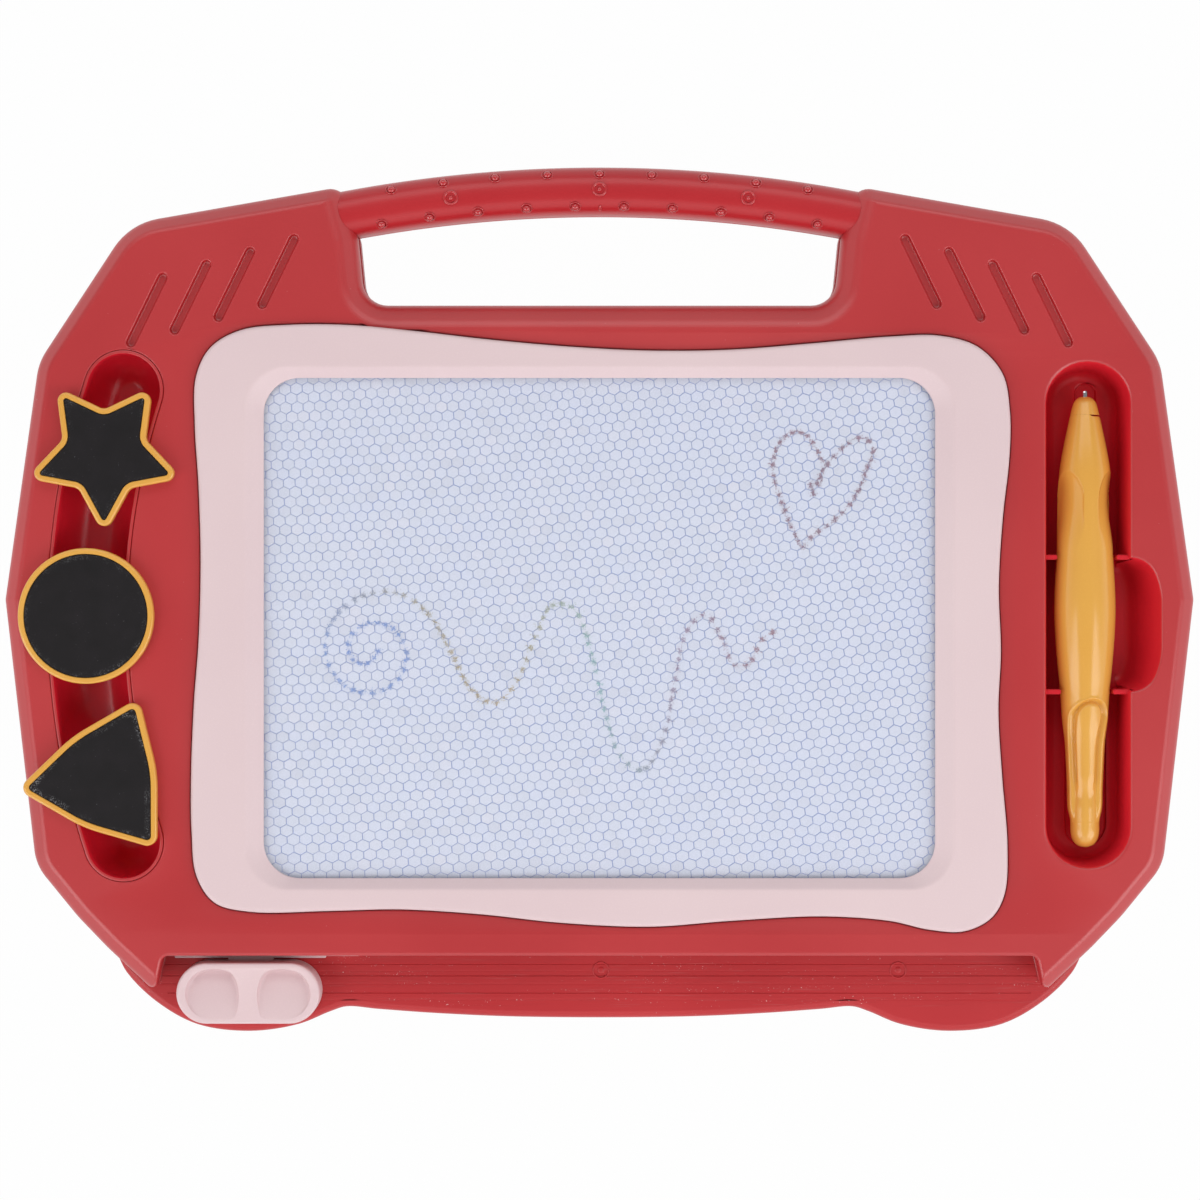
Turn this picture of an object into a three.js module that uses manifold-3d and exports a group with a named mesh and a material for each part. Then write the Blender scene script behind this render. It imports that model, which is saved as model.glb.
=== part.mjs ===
// Magnetic drawing board with a carry grip, a sliding eraser, a pen and three magnetic stamps.
// Millimetres. The board lies on its back: +X to the right, +Y towards the grip, +Z out of the screen.
// The origin is under the middle of the board, on the surface that it lies on.

import * as THREE from 'three';
import { mergeVertices } from 'three/addons/utils/BufferGeometryUtils.js';
import Module from 'manifold-3d';

const wasm = await Module();
wasm.setup();

// Overall board
const WINDOW_LENGTH = 219.6;
const WINDOW_HEIGHT = 163.6;
const WINDOW_DROP = 8.9;
const SIDE_BAND = 85.4;
const END_BAND = 69.05;
const STAR_RADIUS = 26.8;
const ROUND_STAMP_RADIUS = 22.1;
const STAMP_GAP = 4.1;
const CHANNEL_END_ROOM = 20.8;
const STAMP_PITCH = STAR_RADIUS + STAMP_GAP + ROUND_STAMP_RADIUS;
const CHANNEL_LENGTH = 2 * (STAMP_PITCH + CHANNEL_END_ROOM);
const HALF_LENGTH = WINDOW_LENGTH / 2 + SIDE_BAND;
const HALF_HEIGHT = CHANNEL_LENGTH / 2 + END_BAND;

// Levels, from the table up
const COVER_RIM_TOP = 9;
const SHELF_TOP = COVER_RIM_TOP;
const SHELL_EDGE_TOP = 19.5;
const SHELL_TOP = 24;

// Walls and gaps
const WALL = 2.4;
const SEAT_GAP = 0.3;
const OVERRUN = 1;

// Front shell
const BEVEL_INSET = 4.6;
const FRONT_EDGE_INSET = 1.3;
const FRONT_EDGE_DROP = 1.6;
const SLIT_HEIGHT = 4.8;
const SOFT_BEND_RADIUS = 60;
const LOWER_CORNER_RADIUS = 10;
const WAIST_RADIUS = 6;
const UPPER_CORNER_RADIUS = 14;
const SHOULDER_RADIUS = 6;
const NOTCH_SIDE_RADIUS = 8;
const NOTCH_CORNER_RADIUS = 6.6;
const FANG_TIP_RADIUS = 1.5;
const FANG_ROOT_RADIUS = 2.6;

// Right half of the shell's outline, from the front edge round to the grip notch
const fangShares = [[0.7315, -0.812], [0.744, -0.8855], [0.761, -0.884]];
const sideShares = [
  [0.8325, -0.797], [0.883, -0.726], [0.964, -0.588], [1, 0.003], [0.947, 0.549], [0.792, 0.868],
];
const notchShares = [[0.43, 0.954], [0.406, 0.833], [0.392, 0.68]];
const beyondFrontShare = [0.565, -1.12];
const fangRadii = [FANG_ROOT_RADIUS, FANG_TIP_RADIUS, FANG_TIP_RADIUS];
const sideRadii = [
  SOFT_BEND_RADIUS, SOFT_BEND_RADIUS, LOWER_CORNER_RADIUS,
  WAIST_RADIUS, UPPER_CORNER_RADIUS, UPPER_CORNER_RADIUS,
];
const notchRadii = [SHOULDER_RADIUS, NOTCH_SIDE_RADIUS, NOTCH_CORNER_RADIUS];

// Decorative grooves beside the grip
const GROOVES = 4;
const GROOVE_WIDTH = 2.6;
const GROOVE_DEPTH = 1.2;
const GROOVE_STEP = new THREE.Vector2(14.3, -4.2);
const GROOVE_RUN = new THREE.Vector2(10.9, -22.6);
const firstGrooveShare = [0.51, 0.833];

// Carry grip
const GRIP_SPAN = 184;
const GRIP_FACE_SPAN = 169;
const GRIP_BOW = 9.5;
const GRIP_WIDTH = 16;
const GRIP_HEIGHT = 19.6;
const GRIP_MIDDLE_HEIGHT = 12.4;
const GRIP_WALL = 2.6;
const GRIP_ROUNDNESS = 2.5;
const GRIP_SCREW_SPACING = 48.8;
const GRIP_TENON_STEP = 2.4;

// Rear cover and its shelf
const COVER_EDGE_INSET = 1.5;
const COVER_EDGE_RISE = 2;
const COVER_FLOOR = 2.2;
const SHELF_EDGE_INSET = 2.4;
const SHELF_EDGE_DROP = 3;
const SHELF_SKIN = 2.2;
const SHELF_WALL = 3.5;
const SHELF_RIB = 1.6;
const SHELF_RIBS = 9;
const SHELF_REACH = 12;
const RAIL_WIDTH = 3;
const shelfShares = [
  [-0.026, -0.971], [0.13, -0.967], [0.273, -0.959], [0.376, -0.949], [0.43, -0.943], [0.457, -0.954],
  [0.512, -0.984], [0.594, -1], [0.684, -0.984], [0.754, -0.931], [0.807, -0.864], [0.822, -0.822],
];

// Screen and bezel
const WINDOW_RADIUS = 11.8;
const WINDOW_LIP = 0.7;
const BEZEL_SLOPE_SIDE = 5.8;
const BEZEL_SLOPE_END = 3.4;
const BEZEL_SLOPE_RADIUS = 14;
const BEZEL_SIDE = 24.1;
const BEZEL_END = 17.3;
const BEZEL_RISE = 2;
const BEZEL_EDGE = 0.7;
const SHEET_SIDE = 14.2;
const SHEET_END = 5.2;
const SHEET_RADIUS = 1;
const LEDGE_WIDTH = 4.2;
const LEDGE_THICKNESS = 1.6;
const LEDGE_TOP = 17.6;
const FOAM_THICKNESS = 0.8;
const BACK_SHEET_THICKNESS = 0.3;
const HONEYCOMB_THICKNESS = 1.1;
const FILM_THICKNESS = 0.4;
const bezelShares = [
  [0.123, -0.983], [0.318, -0.964], [0.541, -0.949], [0.707, -0.964], [0.804, -0.993], [0.889, -0.998],
  [0.955, -0.954], [0.987, -0.875], [0.994, -0.717], [0.981, -0.487], [0.972, -0.273], [0.978, -0.076],
  [0.973, 0.138], [0.983, 0.368], [0.999, 0.565], [1, 0.713], [0.982, 0.838], [0.921, 0.927],
  [0.829, 0.963], [0.707, 0.96], [0.512, 0.937], [0.318, 0.917], [0.123, 0.914], [-0.072, 0.927],
  [-0.266, 0.95], [-0.461, 0.98], [-0.607, 0.998], [-0.753, 0.999], [-0.875, 0.981], [-0.948, 0.924],
  [-0.983, 0.829], [-0.986, 0.664], [-0.977, 0.467], [-0.972, 0.22], [-0.977, -0.043], [-0.988, -0.24],
  [-0.995, -0.47], [-0.994, -0.668], [-0.982, -0.816], [-0.938, -0.904], [-0.851, -0.934], [-0.656, -0.931],
  [-0.486, -0.926], [-0.291, -0.942], [-0.096, -0.97],
];

// Pen and its tray
const PEN_LENGTH = 148;
const PEN_RADIUS = 10.2;
const PEN_NOSE_LENGTH = 6;
const PEN_CLEARANCE = 0.4;
const PEN_TIP_RADIUS = 1;
const PEN_TIP_REACH = 2.4;
const PEN_TIP_ROOT = 3;
const PEN_TIP_ROOM = 0.2;
const PEN_DROP = 7;
const PEN_SIDES = 18;
const PEN_EDGE_DISTANCE = 35.6;
const TRAY_FLOOR_TOP = 6;
const TRAY_WIDTH = 28.2;
const TRAY_END_ROOM = 11.3;
const TRAY_TAIL_ROOM = 6.5;
const TRAY_WALL = 2;
const POCKET_REACH = 10;
const POCKET_RADIUS = 11;
const RIB_THICKNESS = 1.6;
const RIB_DROP = 2.5;
const SCOOPS = 3;
const SCOOP_DEPTH = 1.6;
const SCOOP_BREADTH = 6;
const SCOOP_TURN = THREE.MathUtils.degToRad(25);
const SCOOP_LENGTH = 32;
const SCOOP_HEIGHT = 22;
const ribShares = [0.356, 0.654];
const scoopShare = 0.265;
const penProfileShares = [
  [0, 0.16], [0.011, 0.35], [0.042, 0.48], [0.082, 0.61], [0.122, 0.73], [0.16, 0.82], [0.213, 0.88],
  [0.278, 0.9], [0.36, 0.925], [0.407, 0.967], [0.471, 1], [0.547, 0.95], [0.598, 0.888], [0.653, 0.805],
  [0.718, 0.742], [0.764, 0.66], [0.818, 0.613], [0.871, 0.58], [0.911, 0.55], [0.933, 0.48],
  [0.951, 0.452], [0.98, 0.34], [0.994, 0.19], [1, 0],
];

// Stamps and their tray
const CHANNEL_BOW = 11.75;
const CHANNEL_HALF_WIDTH = 13.1;
const CHANNEL_EDGE_DISTANCE = 28;
const CHANNEL_DROP = 4.9;
const CHANNEL_LIP = 1.1;
const CHANNEL_WALL = 1.6;
const CHANNEL_FLOOR_HALF = 3;
const CHANNEL_FLANGE = 2.6;
const CHANNEL_FLANGE_THICKNESS = 1.4;
const CRADLE_WIDTH = 3;
const CRADLE_LENGTH = 16;
const cradleShares = [-0.36, 0, 0.36];
const STAMP_THICKNESS = 4;
const STAMP_RIM = 1.9;
const STAMP_RECESS = 0.5;
const STAMP_EDGE = 0.5;
const MAGNET_SHEET = 1.2;
const STAMP_GRIP_RADIUS = 6.2;
const STAMP_GRIP_WAIST = 4.6;
const STAMP_GRIP_LENGTH = 14.2;
const STAR_TIP_COUNT = 5;
const STAR_NOTCH_RADIUS = 14.2;
const STAR_TIP_FILLET = 2.8;
const STAR_NOTCH_FILLET = 3.4;
const ROUND_STAMP_SIDES = 40;
const TRIANGLE_CORNER_COUNT = 3;
const TRIANGLE_RADIUS = 28.6;
const TRIANGLE_EDGE_FILLET = 45;
const TRIANGLE_CORNER_FILLET = 3.2;
const TRIANGLE_BULGE = 3;
const TRIANGLE_TURN = THREE.MathUtils.degToRad(67);
const STAR_TURN = THREE.MathUtils.degToRad(-90);

// Eraser
const ERASER_OVERTRAVEL = 5.4;
const ERASER_TRAVEL = WINDOW_LENGTH + 2 * ERASER_OVERTRAVEL;
const KNOB_LENGTH = 47;
const KNOB_WIDTH = 20;
const KNOB_HEIGHT = 11.5;
const KNOB_GAP = 2.6;
const KNOB_EDGE = 0.8;
const THUMB_LENGTH = 17;
const THUMB_WIDTH = 17.4;
const THUMB_DEPTH = 4.6;
const THUMB_BRIDGE = 5;
const SHOE_LENGTH = 71;
const SHOE_WIDTH = 11.3;
const SHOE_THICKNESS = 2.6;
const SHOE_SHOW = 1.3;
const TAB_LENGTH = 14.8;
const TAB_REACH = 7;
const BAR_WIDTH = 10;
const BAR_THICKNESS = 3.5;
const BAR_RISE = 2.6;
const BAR_OVERLAP = 7;
const MAGNET_WIDTH = 7;
const MAGNET_THICKNESS = 2.8;
const MAGNET_END_GAP = 1.4;

// Screws, from behind
const SCREW_HEAD_RADIUS = 2.9;
const SCREW_HEAD_HEIGHT = 2;
const SCREW_RADIUS = 1.3;
const SCREW_LENGTH = 9;
const SCREW_EDGE = 0.5;
const SCREW_SIDES = 10;
const POST_RADIUS = 3.6;
const LOW_POST_GAP = 1;
const HEAD_ROOM = 0.4;
const SCREW_SEAT = 1.6;
const HEAD_SINK = 3.4;
const SIDE_POST_GAP = 4.2;
const sidePostShares = [0.82, -0.62];
const topPostShare = [0.574, 0.728];

const ARC_STEP = Math.PI / 9;
const CHANNEL_STEPS = 9;
const GRIP_SIDES = 16;
const GRIP_STEPS = 12;
const GROOVE_END_STEPS = 4;
const SHELF_STEPS = 52;
const BOWL_STEPS = 4;
const THUMB_SIDES = 12;
const TIP_STEPS = 3;

// Outline helpers
const place = ([x, y]) => new THREE.Vector2(x * HALF_LENGTH, y * HALF_HEIGHT);
const mirrored = (points) => points.map(({ x, y }) => new THREE.Vector2(-x, y)).reverse();

function rounded(corners, radii) {
  const outline = [];
  corners.forEach((corner, i) => {
    const before = corners.at(i - 1).clone().sub(corner).normalize();
    const after = corners[(i + 1) % corners.length].clone().sub(corner).normalize();
    const half = before.angleTo(after) / 2;
    const side = Math.sign(before.y * after.x - before.x * after.y);
    const middle = before.clone().add(after).normalize().multiplyScalar(radii[i] / Math.sin(half));
    const start = before.clone().multiplyScalar(radii[i] / Math.tan(half)).sub(middle);
    const turn = Math.PI - 2 * half;
    const steps = Math.ceil(turn / ARC_STEP);
    for (let step = 0; step <= steps; step += 1) {
      const spoke = start.clone().rotateAround(new THREE.Vector2(), side * turn * step / steps);
      outline.push(spoke.add(middle).add(corner));
    }
  });
  return outline.filter((point, i) => point.distanceTo(outline.at(i - 1)) > Number.EPSILON * HALF_LENGTH);
}

function inset(outline, distance) {
  return outline.map((point, i) => {
    const before = point.clone().sub(outline.at(i - 1)).normalize();
    const after = outline[(i + 1) % outline.length].clone().sub(point).normalize();
    const inward = new THREE.Vector2(-before.y - after.y, before.x + after.x).normalize();
    const spread = inward.x * -before.y + inward.y * before.x;
    return point.clone().addScaledVector(inward, distance / spread);
  });
}

function smooth(points, count) {
  const raised = points.map(({ x, y }) => new THREE.Vector3(x, y, 0));
  const curve = new THREE.CatmullRomCurve3(raised, true, 'centripetal');
  return curve.getPoints(count).slice(0, -1).map(({ x, y }) => new THREE.Vector2(x, y));
}

function rectangle(left, right, front, back, radius) {
  const corners = [[left, front], [right, front], [right, back], [left, back]];
  return rounded(corners.map(([x, y]) => new THREE.Vector2(x, y)), corners.map(() => radius));
}

function circle(radius, sides) {
  return Array.from({ length: sides }, (_, i) => {
    const angle = 2 * Math.PI * i / sides;
    return new THREE.Vector2(Math.cos(angle), Math.sin(angle)).multiplyScalar(radius);
  });
}

const shifted = (outline, x, y) => outline.map((point) => new THREE.Vector2(point.x + x, point.y + y));

// Solid helpers
function solidOf(geometry) {
  geometry.deleteAttribute('normal');
  geometry.deleteAttribute('uv');
  const merged = mergeVertices(geometry);
  const vertProperties = new Float32Array(merged.attributes.position.array);
  const triVerts = new Uint32Array(merged.index.array);
  return new wasm.Manifold(new wasm.Mesh({ numProp: 3, vertProperties, triVerts }));
}

function tapered(outline, levels) {
  const rings = levels.map(([height, distance]) => ({ height, ring: inset(outline, distance) }));
  return loft(rings);
}

function loft(rings) {
  const count = rings[0].ring.length;
  const positions = rings.flatMap(({ height, ring }) => ring.flatMap(({ x, y }) => [x, y, height]));
  const index = [];
  for (let level = 0; level + 1 < rings.length; level += 1) {
    for (let i = 0; i < count; i += 1) {
      const low = level * count;
      const next = (i + 1) % count;
      index.push(low + i, low + next, low + count + next, low + i, low + count + next, low + count + i);
    }
  }
  const top = count * (rings.length - 1);
  for (const [a, b, c] of THREE.ShapeUtils.triangulateShape(rings[0].ring, [])) {
    index.push(a, c, b);
  }
  for (const [a, b, c] of THREE.ShapeUtils.triangulateShape(rings.at(-1).ring, [])) {
    index.push(top + a, top + b, top + c);
  }
  const geometry = new THREE.BufferGeometry();
  geometry.setAttribute('position', new THREE.Float32BufferAttribute(positions, 3));
  geometry.setIndex(index);
  return solidOf(geometry);
}

const prism = (outline, low, high) => tapered(outline, [[low, 0], [high, 0]]);

function box(left, right, front, back, low, high) {
  const geometry = new THREE.BoxGeometry(right - left, back - front, high - low);
  geometry.translate((left + right) / 2, (front + back) / 2, (low + high) / 2);
  return solidOf(geometry);
}

function post(x, y, radius, low, high, sides = SCREW_SIDES) {
  return prism(shifted(circle(radius, sides), x, y), low, high);
}

const together = (solids) => solids.reduce((whole, solid) => whole.add(solid));
const without = (solid, cuts) => cuts.reduce((rest, cut) => rest.subtract(cut), solid);

// Finishes
const finish = (color, roughness, metalness = 0) => (
  new THREE.MeshStandardMaterial({ color, roughness, metalness })
);
const matteRed = finish(0xbe3e40, 0.5);
const glossRed = finish(0xa8202c, 0.2);
const palePink = finish(0xe6d2d4, 0.45);
const mustard = finish(0xdda54f, 0.35);
const magnetBlack = finish(0x2b2627, 0.85);
const screenWhite = finish(0xd6dcec, 0.4);
const clearPlastic = new THREE.MeshStandardMaterial({
  color: 0xf4f6fa, roughness: 0.1, opacity: 0.3, transparent: true,
});
const backingGrey = finish(0xc9cbd0, 0.6);
const foamWhite = finish(0xf1efe9, 0.9);
const screwSteel = finish(0xb9bcc2, 0.35, 1);

const board = new THREE.Group();

function addPiece(name, solid, material) {
  const { vertProperties, triVerts } = solid.getMesh();
  const geometry = new THREE.BufferGeometry();
  geometry.setAttribute('position', new THREE.Float32BufferAttribute(vertProperties, 3));
  geometry.setIndex(Array.from(triVerts));
  geometry.computeVertexNormals();
  const mesh = new THREE.Mesh(geometry, material);
  mesh.name = name;
  board.add(mesh);
}

// Outlines that several pieces share
const frontEdge = fangShares[0][1] * HALF_HEIGHT;
const rightCorners = [...fangShares, ...sideShares, ...notchShares].map(place);
const rightRadii = [...fangRadii, ...sideRadii, ...notchRadii];
const openCorners = [beyondFrontShare, ...sideShares, ...notchShares].map(place);
const openRadii = [WAIST_RADIUS, ...sideRadii, ...notchRadii];
const bothSides = (corners, radii) => rounded(
  [...corners, ...mirrored(corners)], [...radii, ...radii.toReversed()],
);
const shellOutline = bothSides(rightCorners, rightRadii);
const sideOutline = bothSides(openCorners, openRadii);

const windowY = -WINDOW_DROP;
const windowAt = (side, end, radius) => rectangle(
  -WINDOW_LENGTH / 2 - side, WINDOW_LENGTH / 2 + side,
  windowY - WINDOW_HEIGHT / 2 - end, windowY + WINDOW_HEIGHT / 2 + end, radius,
);
const wellSide = SHEET_SIDE + 2 * SEAT_GAP;
const wellEnd = SHEET_END + 2 * SEAT_GAP;
const wellHalfLength = WINDOW_LENGTH / 2 + wellSide;

// Screen levels, each layer a seat gap above the one that carries it
const foamLow = LEDGE_TOP + SEAT_GAP;
const backLow = foamLow + FOAM_THICKNESS + SEAT_GAP;
const combLow = backLow + BACK_SHEET_THICKNESS + SEAT_GAP;
const filmLow = combLow + HONEYCOMB_THICKNESS + SEAT_GAP;
const skirtLow = filmLow + FILM_THICKNESS + SEAT_GAP;
const bezelTop = SHELL_TOP + BEZEL_RISE;

// Pen, lying along Y with its tip towards the grip
const penX = HALF_LENGTH - PEN_EDGE_DISTANCE;
const penNoseY = PEN_LENGTH / 2 - PEN_DROP;
const penZ = TRAY_FLOOR_TOP + PEN_CLEARANCE + PEN_RADIUS;
const penStart = PEN_NOSE_LENGTH + SEAT_GAP;
const penAlong = (share) => penNoseY - share * PEN_LENGTH;

function penRadiusAt(share) {
  const next = penProfileShares.findIndex(([along]) => along >= share);
  const [toShare, toRadius] = penProfileShares[next];
  const [fromShare, fromRadius] = penProfileShares[Math.max(next - 1, 0)];
  const between = (share - fromShare) / Math.max(toShare - fromShare, Number.EPSILON);
  return PEN_RADIUS * THREE.MathUtils.lerp(fromRadius, toRadius, between);
}

function turned(profile, sides) {
  const points = profile.map(([radius, along]) => new THREE.Vector2(radius, along));
  return solidOf(new THREE.LatheGeometry(points, sides));
}

// Stamp tray: a slot whose middle line bows towards the board's side
const channelX = CHANNEL_EDGE_DISTANCE - HALF_LENGTH;
const channelY = -CHANNEL_DROP;
const bowRadius = (CHANNEL_LENGTH ** 2 / 4 + CHANNEL_BOW ** 2) / (2 * CHANNEL_BOW);
const channelCentre = (y) => channelX + bowRadius - Math.sqrt(bowRadius ** 2 - (y - channelY) ** 2);

function channelOutline(halfWidth) {
  const reach = Math.asin(CHANNEL_LENGTH / 2 / bowRadius);
  const origin = new THREE.Vector2();
  const centre = new THREE.Vector2(channelX + bowRadius, channelY);
  const at = (angle, radius) => new THREE.Vector2(-radius, 0).rotateAround(origin, angle).add(centre);
  const outline = [];
  for (const side of [1, -1]) {
    for (let step = 0; step <= CHANNEL_STEPS; step += 1) {
      outline.push(at(side * reach * (2 * step / CHANNEL_STEPS - 1), bowRadius + side * halfWidth));
    }
    const end = at(side * reach, bowRadius);
    const spoke = at(side * reach, bowRadius + side * halfWidth).sub(end);
    for (let step = 1; step < CHANNEL_STEPS; step += 1) {
      const turn = Math.PI * step / CHANNEL_STEPS;
      outline.push(spoke.clone().rotateAround(origin, turn).add(end));
    }
  }
  return outline;
}

// Grip: an oval section swept along a shallow arc
const gripRadius = (GRIP_SPAN ** 2 / 4 + GRIP_BOW ** 2) / (2 * GRIP_BOW);
const gripY = HALF_HEIGHT - GRIP_WIDTH / 2;

function gripSolid(span, margin) {
  const power = 2 / GRIP_ROUNDNESS;
  const oval = circle(1, GRIP_SIDES).map(({ x, y }) => new THREE.Vector2(
    (GRIP_HEIGHT / 2 + margin) * Math.sign(x) * Math.abs(x) ** power,
    (GRIP_WIDTH / 2 + margin) * Math.sign(y) * Math.abs(y) ** power,
  ));
  const geometry = new THREE.ExtrudeGeometry(new THREE.Shape(oval), {
    depth: span, steps: GRIP_STEPS, bevelEnabled: false,
  });
  geometry.translate(0, 0, -span / 2);
  geometry.rotateY(Math.PI / 2);
  const position = geometry.attributes.position;
  for (let i = 0; i < position.count; i += 1) {
    const angle = position.getX(i) / gripRadius;
    const radius = gripRadius + position.getY(i);
    position.setXYZ(
      i, radius * Math.sin(angle), gripY + radius * Math.cos(angle) - gripRadius,
      GRIP_MIDDLE_HEIGHT + position.getZ(i),
    );
  }
  return solidOf(geometry);
}

// The grip narrows to a tenon inside each shoulder
const gripWhole = (margin) => gripSolid(GRIP_FACE_SPAN + 2 * margin, margin).add(
  gripSolid(GRIP_SPAN + 2 * margin, margin - GRIP_TENON_STEP),
);
const gripScrews = [-GRIP_SCREW_SPACING, 0, GRIP_SCREW_SPACING].map((x) => (
  new THREE.Vector2(x, gripY + Math.sqrt(gripRadius ** 2 - x ** 2) - gripRadius)
));
const gripLow = GRIP_MIDDLE_HEIGHT - GRIP_HEIGHT / 2;
const gripTop = GRIP_MIDDLE_HEIGHT + GRIP_HEIGHT / 2;

// Screws clamp a post of the front piece to a seat in the rear piece
const headLow = HEAD_SINK - SEAT_GAP - SCREW_HEAD_HEIGHT;
const seatTop = HEAD_SINK + SCREW_SEAT;
const headHoleRadius = SCREW_HEAD_RADIUS + HEAD_ROOM;
const bossRadius = headHoleRadius + SCREW_SEAT;
const postLow = seatTop + SEAT_GAP;
const pilotTop = HEAD_SINK + SCREW_LENGTH + SCREW_RADIUS;

const screwPost = ({ x, y }, base, ceiling) => post(x, y, POST_RADIUS, base + postLow, ceiling);
const pilotHole = ({ x, y }, base) => (
  post(x, y, SCREW_RADIUS + SEAT_GAP, base + postLow - OVERRUN, base + pilotTop)
);
const screwBoss = ({ x, y }, base, floor) => post(x, y, bossRadius, floor, base + seatTop);
const screwHoles = ({ x, y }, base) => [
  post(x, y, headHoleRadius, base - OVERRUN, base + HEAD_SINK),
  post(x, y, SCREW_RADIUS + HEAD_ROOM, base, base + seatTop + OVERRUN),
];

const sidePostX = wellHalfLength + LEDGE_THICKNESS + SIDE_POST_GAP;
const channelEnd = channelY - CHANNEL_LENGTH / 2;
const lowPost = new THREE.Vector2(
  -channelCentre(channelEnd), channelEnd - CHANNEL_HALF_WIDTH - CHANNEL_FLANGE - LOW_POST_GAP - POST_RADIUS,
);
const rightPosts = [
  place(topPostShare),
  ...sidePostShares.map((share) => new THREE.Vector2(sidePostX, windowY + share * WINDOW_HEIGHT / 2)),
  lowPost,
];
const housingScrews = [...rightPosts, ...mirrored(rightPosts)];

// Eraser places: the carriage starts at the left end of its slit
const sliderX = -ERASER_TRAVEL / 2;
const shoeLow = SHELF_TOP + SEAT_GAP;
const shoeTop = shoeLow + SHOE_THICKNESS;
const shoeFront = frontEdge - SHOE_SHOW;
const barLow = shoeLow + BAR_RISE;
const barTop = barLow + BAR_THICKNESS;
const windowFront = windowY - WINDOW_HEIGHT / 2;
const windowBack = windowY + WINDOW_HEIGHT / 2;
const railY = windowBack - RAIL_WIDTH;
const slitHalfLength = ERASER_TRAVEL / 2 + SHOE_LENGTH / 2 + SEAT_GAP * 2;

// Pen tray outlines
const trayFront = penAlong(1) - TRAY_TAIL_ROOM;
const trayBack = penNoseY + TRAY_END_ROOM;
const trayOutline = rectangle(
  penX - TRAY_WIDTH / 2, penX + TRAY_WIDTH / 2, trayFront, trayBack, TRAY_WIDTH / 2,
);
const pocketOutline = rectangle(
  penX - TRAY_WIDTH / 4, penX + TRAY_WIDTH / 2 + POCKET_REACH,
  penAlong(ribShares[1]), penAlong(ribShares[0]), POCKET_RADIUS,
);

function grooveCut(side, index) {
  const origin = new THREE.Vector2();
  const start = place(firstGrooveShare).addScaledVector(GROOVE_STEP, index);
  const spoke = GROOVE_RUN.clone().rotateAround(origin, -Math.PI / 2).setLength(GROOVE_WIDTH / 2);
  const outline = [];
  for (const [end, first] of [[start, Math.PI], [start.clone().add(GROOVE_RUN), 0]]) {
    for (let step = 0; step <= GROOVE_END_STEPS; step += 1) {
      const turn = first + Math.PI * step / GROOVE_END_STEPS;
      outline.push(spoke.clone().rotateAround(origin, turn).add(end));
    }
  }
  const facing = side > 0 ? outline : mirrored(outline);
  return prism(facing, SHELL_TOP - GROOVE_DEPTH, SHELL_TOP + OVERRUN);
}

function penRib(share) {
  const y = penAlong(share);
  const notch = penRadiusAt(share) + PEN_CLEARANCE;
  const round = turned([
    [0, -RIB_THICKNESS], [notch, -RIB_THICKNESS], [notch, RIB_THICKNESS], [0, RIB_THICKNESS],
  ], PEN_SIDES);
  const plate = box(
    penX - TRAY_WIDTH / 2 - OVERRUN, penX + TRAY_WIDTH / 2 + OVERRUN,
    y - RIB_THICKNESS / 2, y + RIB_THICKNESS / 2, TRAY_FLOOR_TOP - OVERRUN, SHELL_TOP - RIB_DROP,
  );
  const mouth = box(
    penX - notch, penX + notch, y - RIB_THICKNESS, y + RIB_THICKNESS, penZ, SHELL_TOP + OVERRUN,
  );
  return without(plate, [round.translate(penX, y, penZ), mouth]);
}

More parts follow.
